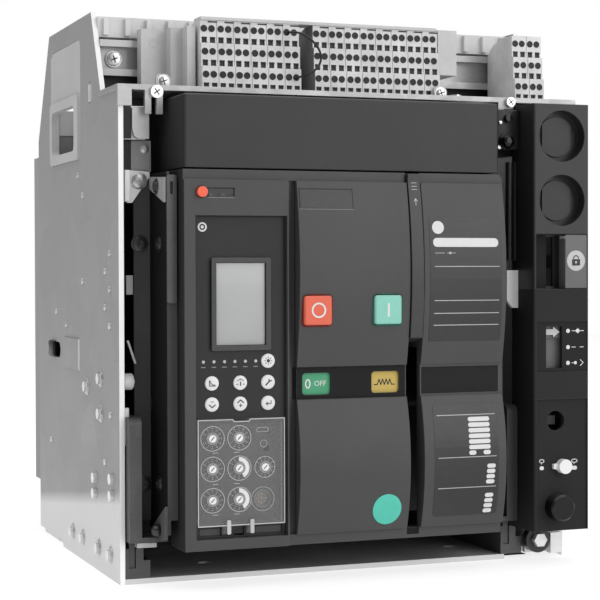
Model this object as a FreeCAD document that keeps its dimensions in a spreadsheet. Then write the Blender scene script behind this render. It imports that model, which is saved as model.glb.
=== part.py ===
import FreeCAD, Part
import math
import os

import Sketcher
from FreeCAD import Vector

# Draw-out air circuit breaker: a racked breaker in its cradle, drawn in the connected position.
# +X is to the right, +Y to the back and +Z up; the front faces -Y.
# The origin is the centre of the four floor bolts, on the underside of the base plate.
# Depths are given as distances behind the front edges of the side plates.

SIZES = {
    # cradle side plates and base plate
    "cradle_width": 282.0,
    "cradle_depth": 213.0,
    "sheet": 3.0,
    "shoulder_height": 276.3,
    "raised_height": 328.0,
    "raised_from": 40.6,
    "raised_top_from": 63.2,
    "raised_top_to": 178.0,
    "rear_shoulder": 262.0,
    "step_from": 143.5,
    "step_height": 4.0,
    "base_bend": 4.0,
    "base_notch_width": 39.5,
    "base_notch_depth": 22.0,
    "floor_bolt_pitch_x": 160.0,
    "floor_bolt_pitch_y": 140.0,
    "floor_bolt_radius": 4.5,
    # hand openings in the side plates
    "window_from": 91.0,
    "window_to": 173.0,
    "window_bottom": 243.0,
    "window_top": 316.0,
    "window_frame": 8.0,
    "hand_hole_from": 103.0,
    "hand_hole_to": 165.0,
    "hand_hole_bottom": 249.0,
    "hand_hole_top": 277.0,
    "grip_proud": 1.5,
    "grip_depth": 5.0,
    # slots and pressings of the side plates
    "slot_place": 66.0,
    "slot_level": 281.0,
    "slot_height": 14.0,
    "slot_width": 8.0,
    "rear_slot_place": 168.0,
    "rear_slot_level": 125.0,
    "rear_slot_length": 40.0,
    "rear_slot_width": 10.0,
    "bridge_from": 96.0,
    "bridge_to": 136.0,
    "bridge_bottom": 115.0,
    "bridge_top": 134.0,
    "bridge_proud": 1.0,
    # crossbar over the front
    "crossbar_depth": 43.0,
    "crossbar_end": 5.0,
    "tab_drop": 9.0,
    "tab_width": 8.1,
    "fork_from": 11.7,
    "fork_width": 10.3,
    "fork_drop": 13.3,
    "prong_width": 3.6,
    # terminal rail and terminals
    "rail_place": 60.0,
    "rail_height": 21.0,
    "rail_level": 290.0,
    "rail_depth": 7.0,
    "rail_sheet": 1.2,
    "rail_flange": 4.0,
    "beam_height": 12.0,
    "beam_level": 313.0,
    "beam_depth": 8.0,
    "beam_rib": 3.0,
    "beam_rib_pitch": 13.0,
    "block_pitch": 10.16,
    "block_gap": 0.16,
    "block_front": 20.0,
    "tier_height": 13.4,
    "tier_step": 2.0,
    "entry_width": 3.2,
    "entry_height": 2.7,
    "entry_depth": 3.0,
    "entry_pitch": 5.0,
    "group_left_start": -87.0,
    "group_middle_start": -17.6,
    "group_right_start": 114.4,
    "marker_height": 1.8,
    "wire_diameter": 1.3,
    # moulded rear base, connectors and contact fingers
    "rear_base_bottom": 33.5,
    "rear_base_top": 252.6,
    "rear_base_front": 196.0,
    "rear_base_back": 242.0,
    "rear_web_front": 212.0,
    "rear_web_back": 222.0,
    "chamber_front": 147.0,
    "chamber_height": 44.0,
    "chamber_wall": 3.0,
    "pole_pitch": 64.0,
    "pole_gap": 5.0,
    "upper_level": 190.0,
    "lower_level": 90.0,
    "blade_width": 50.0,
    "blade_thickness": 8.0,
    "blade_back": 166.0,
    "connector_thickness": 10.0,
    "connector_front": 173.0,
    "connector_back": 287.0,
    "connector_bolt_radius": 5.5,
    "connector_bolt_pitch": 25.0,
    "connector_bolt_inset": 16.0,
    "finger_width": 14.0,
    "finger_gap": 2.0,
    "finger_height": 6.0,
    "contact_gap": 0.3,
    # shutters
    "shutter_thickness": 3.0,
    "shutter_front": 140.5,
    "shutter_height": 30.0,
    "shutter_lift": 22.0,
    "shutter_groove": 3.6,
    "shutter_width": 203.0,
    # racking module at the right of the front
    "module_left": 104.0,
    "module_depth": 27.7,
    "module_bottom": 19.7,
    "module_top": 274.0,
    "module_wall": 2.5,
    "lock_x": 122.9,
    "lock_level_upper": 254.8,
    "lock_level_lower": 216.7,
    "lock_radius": 15.2,
    "lock_depth": 8.0,
    "blank_radius": 12.1,
    "blank_flat": 9.8,
    "blank_proud": 1.2,
    "bay_bottom": 164.0,
    "bay_top": 196.7,
    "bay_depth": 9.0,
    "bay_wall": 1.5,
    "tab_left": 125.5,
    "bay_slot_left": 117.0,
    "bay_slot_right": 121.6,
    "window_panel_bottom": 114.5,
    "window_panel_top": 144.6,
    "pointer_slot_left": 112.6,
    "pointer_slot_right": 123.4,
    "pointer_slot_bottom": 116.9,
    "pointer_slot_top": 141.8,
    "pointer_height": 7.0,
    "lower_field_top": 98.4,
    "field_depth": 1.2,
    "crank_x": 119.1,
    "crank_level": 85.5,
    "crank_radius": 5.9,
    "selector_x": 123.4,
    "selector_level": 58.3,
    "selector_radius": 4.3,
    "release_x": 120.1,
    "release_level": 34.2,
    "release_radius": 7.9,
    "release_proud": 8.5,
    # racking screw and carriage
    "screw_radius": 5.0,
    "screw_end": 98.0,
    "drive_square": 5.6,
    "bearing_thickness": 9.0,
    "bearing_half": 9.5,
    "carriage_place": 70.0,
    "carriage_length": 16.0,
    "racking_travel": 55.0,
    "lug_radius": 3.8,
    "lug_level": 108.0,
    "running_clearance": 0.06,
    # pull-out rails and their guides
    "rail_offset": 116.9,
    "slide_width": 7.0,
    "slide_bottom": 24.3,
    "slide_top": 94.0,
    "slide_front": -8.0,
    "slide_length": 188.0,
    "ledge_width": 15.0,
    "ledge_thickness": 2.7,
    "tongue_width": 3.4,
    "guide_width": 14.0,
    "guide_height": 17.0,
    "guide_floor": 6.0,
    "guide_length": 186.0,
    # breaker: housing and side plates
    "breaker_axis": -17.0,
    "breaker_plate_half": 103.0,
    "breaker_sheet": 2.0,
    "breaker_plate_front": -22.6,
    "breaker_plate_back": 125.0,
    "breaker_plate_bottom": 30.0,
    "breaker_plate_top": 230.0,
    "wing_place": 10.0,
    "wing_width": 9.6,
    "housing_front": 30.0,
    "housing_back": 128.0,
    "housing_bottom": 28.0,
    "housing_top": 232.0,
    "housing_wall": 4.0,
    "case_top": 272.4,
    "case_half": 95.5,
    "case_wall": 3.0,
    "chute_bottom": 200.0,
    "chute_front": 42.0,
    "chute_back": 120.0,
    "chute_half": 27.5,
    # breaker: contacts and shafts
    "pivot_place": 70.0,
    "pivot_level": 92.0,
    "pivot_radius": 4.0,
    "arm_half": 19.0,
    "fixed_contact_front": 95.0,
    "shaft_place": 15.0,
    "shaft_level": 100.0,
    "shaft_radius": 7.0,
    "charge_shaft_place": 10.0,
    "charge_shaft_level": 165.0,
    "charge_shaft_radius": 6.0,
    "ratchet_radius": 15.0,
    "frame_left": -30.0,
    "frame_right": 28.0,
    "frame_sheet": 3.0,
    "spring_place": 2.0,
    "spring_level": 112.0,
    "spring_radius": 7.5,
    "spring_wire": 2.6,
    "spring_pitch": 6.4,
    # front cover
    "cover_half": 96.5,
    "cover_bottom": 22.0,
    "cover_top": 231.0,
    "cover_front": -32.0,
    "cover_back": -8.0,
    "cover_wall": 3.5,
    "panel_bottom": 28.0,
    "panel_top": 225.3,
    "panel_rise": 2.3,
    "panel_bulge": 5.6,
    "band_bottom": 103.2,
    "band_top": 121.5,
    "band_rise": 1.0,
    "left_panel_right": -52.7,
    "centre_panel_left": -48.2,
    "centre_panel_right": 18.7,
    "right_panel_left": 27.5,
    # push buttons, flags and handle
    "button_side": 16.4,
    "button_clearance": 0.4,
    "button_level": 153.2,
    "off_x": -37.8,
    "on_x": 4.6,
    "button_proud": 9.2,
    "button_travel": 4.0,
    "reset_x": -103.3,
    "reset_level": 218.5,
    "reset_radius": 2.9,
    "flag_width": 17.2,
    "flag_height": 12.2,
    "flag_level": 111.9,
    "status_x": -35.9,
    "charged_x": 6.0,
    "flag_travel": 13.5,
    "handle_width": 7.4,
    "handle_pivot_place": -25.5,
    "handle_pivot_level": 139.0,
    "handle_pin_radius": 2.5,
    "handle_hub": 5.6,
    # trip unit
    "trip_left": -106.6,
    "trip_right": -53.9,
    "trip_bottom": 28.2,
    "trip_top": 205.4,
    "trip_face": -31.0,
    "trip_back": -9.0,
    "trip_clearance": 0.3,
    "display_left": -96.7,
    "display_right": -63.6,
    "display_bottom": 132.1,
    "display_top": 182.0,
    "display_rim": 2.2,
    "display_rise": 1.6,
    "dial_radius": 6.4,
    "dial_rotor": 3.4,
    "dial_depth": 0.8,
    "socket_radius": 5.4,
    "socket_depth": 4.0,
    "lid_left": -106.2,
    "lid_right": -55.7,
    "lid_bottom": 35.2,
    "lid_top": 93.9,
    "lid_front": -34.9,
    "lid_wall": 1.2,
    "lid_knuckle": 1.5,
    "lug_half": 1.2,
}

doc = FreeCAD.newDocument("DrawoutCircuitBreaker")
sheet = doc.addObject("Spreadsheet::Sheet", "Sizes")
for line, (alias, value) in enumerate(SIZES.items(), start=1):
    sheet.set("A%d" % line, alias)
    sheet.set("B%d" % line, str(value))
    sheet.setAlias("B%d" % line, alias)
doc.recompute()


# Lengths that stay tied to the sheet

def number(length):
    return length.value if isinstance(length, Size) else float(length)


def formula(length):
    return length.text if isinstance(length, Size) else "(%.9g)" % length


class Size:
    """A length: its value in millimetres and the sheet formula that it comes from."""

    def __init__(self, value, text):
        self.value = float(value)
        self.text = text

    def __add__(self, other):
        return Size(self.value + number(other), "(%s + %s)" % (self.text, formula(other)))

    def __radd__(self, other):
        return self + other

    def __sub__(self, other):
        return Size(self.value - number(other), "(%s - %s)" % (self.text, formula(other)))

    def __rsub__(self, other):
        return Size(number(other) - self.value, "(%s - %s)" % (formula(other), self.text))

    def __mul__(self, other):
        return Size(self.value * number(other), "(%s * %s)" % (self.text, formula(other)))

    def __rmul__(self, other):
        return self * other

    def __truediv__(self, other):
        return Size(self.value / number(other), "(%s / %s)" % (self.text, formula(other)))

    def __neg__(self):
        return Size(-self.value, "(0 - %s)" % self.text)


class Sheet:
    """Reads a driving dimension by its alias."""

    def __getattr__(self, alias):
        return Size(SIZES[alias], "Sizes." + alias)


size = Sheet()


def bind(thing, name, length):
    """Sets a property, or ties it to the sheet when the length comes from there."""
    if isinstance(length, Size):
        thing.setExpression(name, length.text)
    else:
        thing.setExpression(name, "%.9g" % length)


# Closed loops of a sketch, each given by its corner points

def arc_between(start, end, radius):
    """The minor arc from start to end; a positive radius bulges to the right of the way."""
    chord = end - start
    middle = (start + end) * 0.5
    left = Vector(-chord.y, chord.x, 0).normalize()
    reach = math.sqrt(max(radius * radius - chord.Length ** 2 / 4.0, 0.0))
    turn = 1.0 if radius > 0 else -1.0
    centre = middle + left * (reach * turn)
    first, last = (start, end) if radius > 0 else (end, start)
    from_angle = math.atan2(first.y - centre.y, first.x - centre.x)
    to_angle = math.atan2(last.y - centre.y, last.x - centre.x)
    circle = Part.Circle(centre, Vector(0, 0, 1), abs(radius))
    return Part.ArcOfCircle(circle, from_angle, to_angle)


def outline(*corners):
    """Straight sides between corners; a corner with a third value starts an arc of that radius."""

    def draw(sketch):
        places = [Vector(number(corner[0]), number(corner[1]), 0) for corner in corners]
        sides = []
        for i, corner in enumerate(corners):
            start, end = places[i], places[(i + 1) % len(places)]
            if len(corner) == 3:
                side = sketch.addGeometry(arc_between(start, end, number(corner[2])))
                radius = corner[2] if number(corner[2]) > 0 else -corner[2]
                rule = sketch.addConstraint(Sketcher.Constraint("Radius", side, number(radius)))
                bind(sketch, "Constraints[%d]" % rule, radius)
                sides.append((side, 1, 2) if number(corner[2]) > 0 else (side, 2, 1))
            else:
                sides.append((sketch.addGeometry(Part.LineSegment(start, end)), 1, 2))
        for i, (side, start, end) in enumerate(sides):
            following = sides[(i + 1) % len(sides)]
            sketch.addConstraint(
                Sketcher.Constraint("Coincident", side, end, following[0], following[1]))
            for name, length in (("DistanceX", corners[i][0]), ("DistanceY", corners[i][1])):
                rule = sketch.addConstraint(
                    Sketcher.Constraint(name, side, start, number(length)))
                bind(sketch, "Constraints[%d]" % rule, length)

    return draw


def rectangle(left, bottom, right, top):
    return outline((left, bottom), (right, bottom), (right, top), (left, top))


def round_rectangle(left, bottom, right, top, radius):
    """A rectangle with rounded corners."""
    return outline(
        (left + radius, bottom), (right - radius, bottom, radius),
        (right, bottom + radius), (right, top - radius, radius),
        (right - radius, top), (left + radius, top, radius),
        (left, top - radius), (left, bottom + radius, radius))


def around(x, y, half_width, half_height):
    return rectangle(x - half_width, y - half_height, x + half_width, y + half_height)


def oblong(x, y, length, width):
    """A slot with rounded ends along its first direction."""
    end = width * 0.51
    run = length / 2 - width / 2
    return outline((x - run, y - width / 2), (x + run, y - width / 2, end),
                   (x + run, y + width / 2), (x - run, y + width / 2, end))


def hexagon(x, y, radius):
    corners = []
    for i in range(6):
        angle = math.radians(60 * i)
        corners.append((x + radius * math.cos(angle), y + radius * math.sin(angle)))
    return outline(*corners)


def circle(x, y, radius):
    def draw(sketch):
        ring = sketch.addGeometry(
            Part.Circle(Vector(number(x), number(y), 0), Vector(0, 0, 1), number(radius)))
        rule = sketch.addConstraint(Sketcher.Constraint("Radius", ring, number(radius)))
        bind(sketch, "Constraints[%d]" % rule, radius)
        for name, length in (("DistanceX", x), ("DistanceY", y)):
            rule = sketch.addConstraint(Sketcher.Constraint(name, ring, 3, number(length)))
            bind(sketch, "Constraints[%d]" % rule, length)

    return draw


def double_d(x, y, radius, half_width):
    """A circle with two upright flats."""
    rise = Size(math.sqrt(number(radius) ** 2 - number(half_width) ** 2),
                "sqrt(%s ^ 2 - %s ^ 2)" % (formula(radius), formula(half_width)))
    return outline((x + half_width, y - rise), (x + half_width, y + rise, radius),
                   (x - half_width, y + rise), (x - half_width, y - rise, radius))


# Solids made of sketches

PLANES = {"XY": ("XY_Plane", 1), "XZ": ("XZ_Plane", -1), "YZ": ("YZ_Plane", 1)}
solids = []


class Piece:
    """One sub-part: a body with its sketches, pads and pockets."""

    def __init__(self, label, kept=True):
        self.body = doc.addObject("PartDesign::Body", label)
        self.body.Label = label
        self.body.AllowCompound = True
        if kept:
            solids.append(self.body)

    def sketch(self, plane, place, loops):
        role, sign = PLANES[plane]
        drawing = self.body.newObject("Sketcher::SketchObject", self.body.Name + "_sketch")
        origin = [item for item in self.body.Origin.OriginFeatures if item.Role == role]
        drawing.AttachmentSupport = [(origin[0], "")]
        drawing.MapMode = "FlatFace"
        bind(drawing, "AttachmentOffset.Base.z", place * sign)
        for draw in loops:
            draw(drawing)
        return drawing

    def pad(self, plane, low, high, *loops):
        """Material between two levels of the axis that the plane faces."""
        drawing = self.sketch(plane, high if plane == "XZ" else low, loops)
        feature = self.body.newObject("PartDesign::Pad", self.body.Name + "_pad")
        feature.Profile = drawing
        bind(feature, "Length", high - low)
        drawing.Visibility = False
        return feature

    def cut(self, plane, low, high, *loops):
        """A pocket between two levels of the axis that the plane faces."""
        drawing = self.sketch(plane, low if plane == "XZ" else high, loops)
        feature = self.body.newObject("PartDesign::Pocket", self.body.Name + "_pocket")
        feature.Profile = drawing
        bind(feature, "Length", high - low)
        drawing.Visibility = False
        return feature

    def repeat(self, features, axis, pitch, count):
        """Copies features along an axis of the body, a pitch apart."""
        row = self.body.newObject("PartDesign::LinearPattern", self.body.Name + "_row")
        row.Originals = features
        origin = [item for item in self.body.Origin.OriginFeatures if item.Role == axis]
        row.Direction = (origin[0], [""])
        row.Occurrences = count
        bind(row, "Length", pitch * (count - 1))
        self.body.Tip = row
        return row

    def edges(self, chosen):
        """Names of the tip's edges for which chosen(edge) is true."""
        doc.recompute()
        found = self.body.Tip.Shape.Edges
        return ["Edge%d" % (i + 1) for i, edge in enumerate(found) if chosen(edge)]

    def fillet(self, radius, chosen):
        names = self.edges(chosen)
        feature = self.body.newObject("PartDesign::Fillet", self.body.Name + "_fillet")
        feature.Base = (self.body.Group[-2], names)
        bind(feature, "Radius", radius)
        return feature

    def chamfer(self, length, chosen):
        names = self.edges(chosen)
        feature = self.body.newObject("PartDesign::Chamfer", self.body.Name + "_chamfer")
        feature.Base = (self.body.Group[-2], names)
        bind(feature, "Size", length)
        return feature


def group(label, members):
    """Several bodies that make one sub-part as separate solids."""
    compound = doc.addObject("Part::Compound", label)
    compound.Label = label
    compound.Links = [member.body for member in members]
    solids.append(compound)
    return compound


def straight(edge, axis):
    """True for a straight edge that runs along the axis."""
    if edge.Curve.TypeId != "Part::GeomLine":
        return False
    way = edge.Vertexes[-1].Point - edge.Vertexes[0].Point
    return abs(abs(way.normalize().dot(axis)) - 1.0) < 1e-6


X_WAY = Vector(1, 0, 0)
Y_WAY = Vector(0, 1, 0)
Z_WAY = Vector(0, 0, 1)

# Places that many pieces share

front = -size.cradle_depth / 2
back = size.cradle_depth / 2
outer = size.cradle_width / 2
inner = outer - size.sheet
axis_x = size.breaker_axis
half_blade = size.blade_thickness / 2
LEVELS = (size.upper_level, size.lower_level)
SIDES = (-1, 1)
SPRING_TURNS = 5
CHORDS = 12
WIRE_SIDES = 8
LID_LUGS = (-90.4, -76.3)


def behind(distance):
    """The Y place at a distance behind the cradle's front edge."""
    return front + distance


def pole_centres():
    return [axis_x + size.pole_pitch * step for step in (-1, 0, 1)]


# Cradle

def side_plate(label, side):
    """Steel side plate: stepped foot, low front, raised rear part and the hand opening."""
    low, high = (-outer, -inner) if side < 0 else (inner, outer)
    plate = Piece(label)
    plate.pad("YZ", low, high, outline(
        (front, 0), (behind(size.step_from), 0), (behind(size.step_from), size.step_height),
        (back, size.step_height), (back, size.rear_shoulder),
        (behind(size.raised_top_to), size.raised_height),
        (behind(size.raised_top_from), size.raised_height),
        (behind(size.raised_from), size.shoulder_height + size.sheet),
        (behind(size.raised_from), size.shoulder_height), (front, size.shoulder_height)))
    bridge_low, bridge_high = (-outer - size.bridge_proud, -outer) if side < 0 else (
        outer, outer + size.bridge_proud)
    plate.pad("YZ", bridge_low, bridge_high, rectangle(
        behind(size.bridge_from), size.bridge_bottom, behind(size.bridge_to), size.bridge_top))
    plate.cut("YZ", low, high, window_outline(0))
    plate.cut("YZ", low, high,
              oblong(behind(size.rear_slot_place), size.rear_slot_level,
                     size.rear_slot_length, size.rear_slot_width),
              round_rectangle(behind(size.slot_place) - size.slot_width / 2,
                              size.slot_level - size.slot_height / 2,
                              behind(size.slot_place) + size.slot_width / 2,
                              size.slot_level + size.slot_height / 2, size.slot_width * 0.45))
    return plate


def window_outline(gap):
    """The window in the side plate, smaller by a gap all round."""
    corner = 5.0
    return round_rectangle(behind(size.window_from) + gap, size.window_bottom + gap,
                           behind(size.window_to) - gap, size.window_top - gap, corner)


def window_grips():
    """Plastic inserts of the two side windows, each with a framed hand hole."""
    fit = 0.2
    thin = 2.0
    hand_radius = 4.0
    grips = Piece("window_grips")
    for side in SIDES:
        if side < 0:
            low, high = -outer - size.grip_proud, -outer - size.grip_proud + size.grip_depth
            panel_low, panel_high = -outer + fit, -inner
        else:
            low, high = outer + size.grip_proud - size.grip_depth, outer + size.grip_proud
            panel_low, panel_high = inner, outer - fit
        grips.pad("YZ", panel_low, panel_high, window_outline(fit))
        grips.pad("YZ", low, high, round_rectangle(
            behind(size.window_from) + thin, size.window_bottom + fit,
            behind(size.hand_hole_to) + size.window_frame - thin,
            size.hand_hole_top + size.window_frame - thin, hand_radius))
        grips.cut("YZ", low, high, round_rectangle(
            behind(size.hand_hole_from), size.hand_hole_bottom,
            behind(size.hand_hole_to), size.hand_hole_top, hand_radius))
    return grips


def base_plate():
    """Steel base with an upturned rear edge, a notch at the right front and the floor bolts."""
    plate = Piece("base_plate")
    bend = size.base_bend
    inside = bend - size.sheet
    plate.pad("YZ", -inner, inner, outline(
        (front, 0), (back - bend, 0, bend), (back, bend), (back, size.rear_base_bottom),
        (back - size.sheet, size.rear_base_bottom), (back - size.sheet, bend, -inside),
        (back - bend, size.sheet), (front, size.sheet)))
    plate.cut("XY", 0, size.sheet, rectangle(
        inner - size.base_notch_width, front, inner, behind(size.base_notch_depth)))
    plate.cut("XY", 0, size.sheet, *[
        circle(size.floor_bolt_pitch_x / 2 * i, size.floor_bolt_pitch_y / 2 * j,
               size.floor_bolt_radius)
        for i in SIDES for j in SIDES])
    return plate


def rail_centre(side):
    return axis_x + size.rail_offset * side


def guide_channels():
    """Two channels on the base plate that hold the tongues of the pull-out rails."""
    slot = size.tongue_width / 2 + size.contact_gap
    channels = Piece("guide_channels")
    for side in SIDES:
        centre = rail_centre(side)
        left = centre - size.slide_width / 2 - 0.2
        step = left + size.guide_width * 0.72
        channels.pad("XZ", front, behind(size.guide_length), outline(
            (left, size.sheet), (left + size.guide_width, size.sheet),
            (left + size.guide_width, size.sheet + size.guide_height * 0.6),
            (step, size.sheet + size.guide_height * 0.6),
            (step, size.sheet + size.guide_height), (centre + slot, size.sheet + size.guide_height),
            (centre + slot, size.sheet + size.guide_floor),
            (centre - slot, size.sheet + size.guide_floor),
            (centre - slot, size.sheet + size.guide_height),
            (left, size.sheet + size.guide_height)))
    return channels


def front_crossbar():
    """Bent steel bar across the top of the front, with a tab, a fork and a prong turned down."""
    bar = Piece("front_crossbar")
    left = -outer - 1.0
    fork = left + size.tab_width + size.fork_from - 4.1
    fork_right = fork + size.fork_width
    prong = size.module_left - 10.7
    under = size.shoulder_height
    fork_root = 4.0
    bar.pad("XY", under, under + size.sheet, rectangle(
        left, front - size.sheet, outer + size.crossbar_end,
        front - size.sheet + size.crossbar_depth))
    bar.pad("XZ", front - size.sheet, front,
            rectangle(left, under - size.tab_drop, left + size.tab_width, under),
            outline((fork, under), (fork, under - size.fork_drop),
                    (fork + size.prong_width, under - size.fork_drop),
                    (fork + size.prong_width, under - fork_root),
                    (fork_right - size.prong_width, under - fork_root),
                    (fork_right - size.prong_width, under - size.fork_drop),
                    (fork_right, under - size.fork_drop), (fork_right, under)),
            outline((prong, under), (prong, under - size.fork_drop - 2.0),
                    (prong + size.prong_width, under - size.fork_drop - 2.0),
                    (prong + size.prong_width, under - fork_root),
                    (size.module_left - 0.4, under - fork_root),
                    (size.module_left - 0.4, under)))
    return bar


def bolt_places():
    """Places of the bolt heads on a side plate: distance behind the front edge, and level."""
    guide_row = size.sheet + size.guide_height * 0.62
    rail_row = size.slide_bottom + size.slide_width * 3.6
    return [(42.5, 113.0), (76.8, 106.3), (42.5, 92.6), (55.3, rail_row + 4.6),
            (55.3, rail_row - 4.6), (15.4, rail_row + 8.2), (15.4, rail_row - 1.4),
            (115.7, guide_row), (88.8, guide_row), (48.5, guide_row), (20.7, guide_row)]


def cradle_fasteners():
    """Hexagon heads on both side plates and the screws on the crossbar."""
    head_radius = 3.4
    head_height = 2.4
    bolts = Piece("cradle_fasteners")
    for side in SIDES:
        low, high = (-outer - head_height, -outer) if side < 0 else (outer, outer + head_height)
        bolts.pad("YZ", low, high, *[
            hexagon(behind(place), level, head_radius) for place, level in bolt_places()])
    top = size.shoulder_height + size.sheet
    screw_radius = 3.6
    bolts.pad("XY", top, top + head_height,
              circle(-outer + 32.7, behind(20.0), screw_radius),
              circle(outer - 67.0, behind(16.0), screw_radius))
    bolts.pad("XZ", front - size.sheet - head_height, front - size.sheet,
              circle(-outer + 21.0, size.shoulder_height - 1.0, screw_radius),
              circle(size.module_left - 3.3, size.shoulder_height + 0.2, screw_radius * 0.8))
    return bolts


def upper_bracket():
    """Folded bracket inside the left plate, above the breaker's wing."""
    bracket = Piece("upper_bracket")
    thick = 2.0
    low_strip = size.breaker_plate_top + 1.5
    shelf = low_strip + 17.5
    top = size.shoulder_height - size.tab_drop - 0.5
    bracket.pad("XY", shelf, top, outline(
        (-inner, behind(5.0)), (-inner + 14.0, behind(5.0)), (-inner + 14.0, behind(5.0) + thick),
        (-inner + thick, behind(5.0) + thick), (-inner + thick, behind(36.0)),
        (-inner, behind(36.0))))
    bracket.pad("XY", low_strip, shelf, outline(
        (-inner, behind(10.0)), (-inner + 18.5, behind(10.0)),
        (-inner + 18.5, behind(10.0) + thick), (-inner + thick, behind(10.0) + thick),
        (-inner + thick, behind(36.0)), (-inner, behind(36.0))))
    return bracket


def position_switch():
    """Small dark switch block that hangs below the crossbar at the right."""
    right = size.module_left + 2.5
    left = right - 15.8
    top = size.shoulder_height - 5.0
    switch = Piece("position_switch")
    switch.pad("XZ", behind(1.5), behind(19.0), outline(
        (left, top - 8.0), (left, top - 23.0), (left + 5.0, top - 27.0), (right, top - 27.0),
        (right, top), (left + 6.0, top), (left + 6.0, top - 8.0)))
    switch.pad("XY", top, size.shoulder_height, rectangle(
        left + 8.0, behind(6.0), right - 2.0, behind(14.0)))
    return switch


def interlock_tab():
    """White stop tab on the left face of the racking module."""
    left = rail_centre(1) - size.slide_width / 2
    tab = Piece("interlock_tab")
    tab.pad("XZ", behind(-8.0), behind(-5.0), outline(
        (left + 4.0, 152.5), (size.module_left, 152.5), (size.module_left, 175.2),
        (left, 175.2), (left, 157.0)))
    tab.pad("XZ", behind(-5.0), behind(22.0), rectangle(
        size.module_left - 3.0, 157.0, size.module_left, 171.0))
    return tab


# Terminals over the crossbar

def terminal_rail():
    """Hat rail between the raised parts of the side plates."""
    rail = Piece("terminal_rail")
    low = size.rail_level
    high = low + size.rail_height
    face = behind(size.rail_place) - size.rail_depth
    floor = behind(size.rail_place)
    thick = size.rail_sheet
    rail.pad("YZ", -inner, inner, outline(
        (face, low), (face + thick, low), (face + thick, low + size.rail_flange - thick),
        (floor, low + size.rail_flange - thick), (floor, high - size.rail_flange + thick),
        (face + thick, high - size.rail_flange + thick), (face + thick, high), (face, high),
        (face, high - size.rail_flange), (floor - thick, high - size.rail_flange),
        (floor - thick, low + size.rail_flange), (face, low + size.rail_flange)))
    return rail


def rear_beam():
    """Ribbed plastic beam behind the terminals."""
    beam = Piece("rear_beam")
    face = behind(size.rail_place) - 2.0
    beam.pad("XZ", face, face + size.beam_depth, rectangle(
        -inner, size.beam_level, inner, size.beam_level + size.beam_height))
    rib = beam.pad("XZ", face - 3.0, face, rectangle(
        -inner + 3.0, size.beam_level + 1.0, -inner + 3.0 + size.beam_rib,
        size.beam_level + size.beam_height - 1.0))
    count = int((number(inner) * 2 - 8.0) / number(size.beam_rib_pitch)) + 1
    beam.repeat([rib], "X_Axis", size.beam_rib_pitch, count)
    return beam


def tier_faces():
    """Front faces of the three tiers, the lowest first."""
    return [behind(size.block_front) - size.tier_step * step for step in (2, 1, 0)]


def terminal_group(label, start, count, wires=()):
    """A row of double terminals, three tiers high, each with its square wire entries."""
    row = Piece(label, kept=False)
    width = size.block_pitch - size.block_gap
    rail_face = behind(size.rail_place) - size.rail_depth
    foot = size.shoulder_height + size.sheet
    tops = [foot + size.tier_height * tier + 0.8 for tier in (1, 2, 3)]
    faces = tier_faces()
    slope = 20.0
    block = row.pad("YZ", start, start + width, outline(
        (faces[0], foot), (rail_face, foot), (rail_face, tops[2] - 9.0),
        (rail_face - 8.0, tops[2] - 3.0), (rail_face - slope, tops[2]), (faces[2], tops[2]),
        (faces[2], tops[1]), (faces[1], tops[1]), (faces[1], tops[0]), (faces[0], tops[0])))
    features = [block]
    half_w = size.entry_width / 2
    half_h = size.entry_height / 2
    for tier in range(3):
        level = tops[tier] - size.tier_height * 0.87
        spots = [start + width / 2 + size.entry_pitch / 2 * side for side in SIDES]
        features.append(row.cut("XZ", faces[tier], faces[tier] + size.entry_depth, *[
            around(spot, level, half_w, half_h) for spot in spots]))
    row.repeat(features, "X_Axis", size.block_pitch, count)
    for x, y, z in wires:
        row.cut("XZ", faces[0], y + 1.0, circle(x, z, size.wire_diameter / 2 + 0.3))
    return row


def terminal_end_caps():
    """End plates of the terminal rows and the marker strip along their top."""
    caps = Piece("terminal_end_caps")
    foot = size.shoulder_height + size.sheet
    rail_face = behind(size.rail_place) - size.rail_depth
    top = foot + size.tier_height * 3 - 2.5
    strip = foot + size.tier_height * 3 + 0.8
    left = size.group_left_start - 1.6
    right = size.group_middle_start + size.block_pitch * 8 + 0.4
    caps.pad("XY", foot, top, outline(
        (left - 27.0, behind(44.0)), (left - 12.0, behind(44.0)), (left - 12.0, behind(34.0)),
        (left - 5.0, behind(34.0)), (left - 5.0, behind(24.0)), (left, behind(24.0)),
        (left, rail_face), (left - 27.0, rail_face)))
    caps.pad("XY", size.rail_level + size.rail_flange, strip + 1.0, rectangle(
        right, behind(size.block_front), right + 12.5, rail_face))
    caps.pad("XY", strip, strip + size.marker_height, rectangle(
        size.group_left_start, behind(size.block_front) - 1.0,
        right - 1.5, behind(size.block_front) + 12.0))
    return caps


def wire_route():
    """The jumper's points: out of one entry, round a loop and back into a lower one."""
    x = size.group_left_start + size.block_pitch * 5.35
    y = tier_faces()[2]
    z = size.shoulder_height + size.sheet
    return [(x, y + 2.0, z + 36.0), (x, y - 7.0, z + 36.0), (x + 6.0, y - 13.5, z + 33.2),
            (x + 13.0, y - 15.0, z + 26.5), (x + 15.6, y - 14.5, z + 19.5),
            (x + 11.5, y - 15.5, z + 12.6), (x + 3.5, y - 13.5, z + 9.0),
            (x + 3.5, y - 2.0, z + 9.0)]


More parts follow.
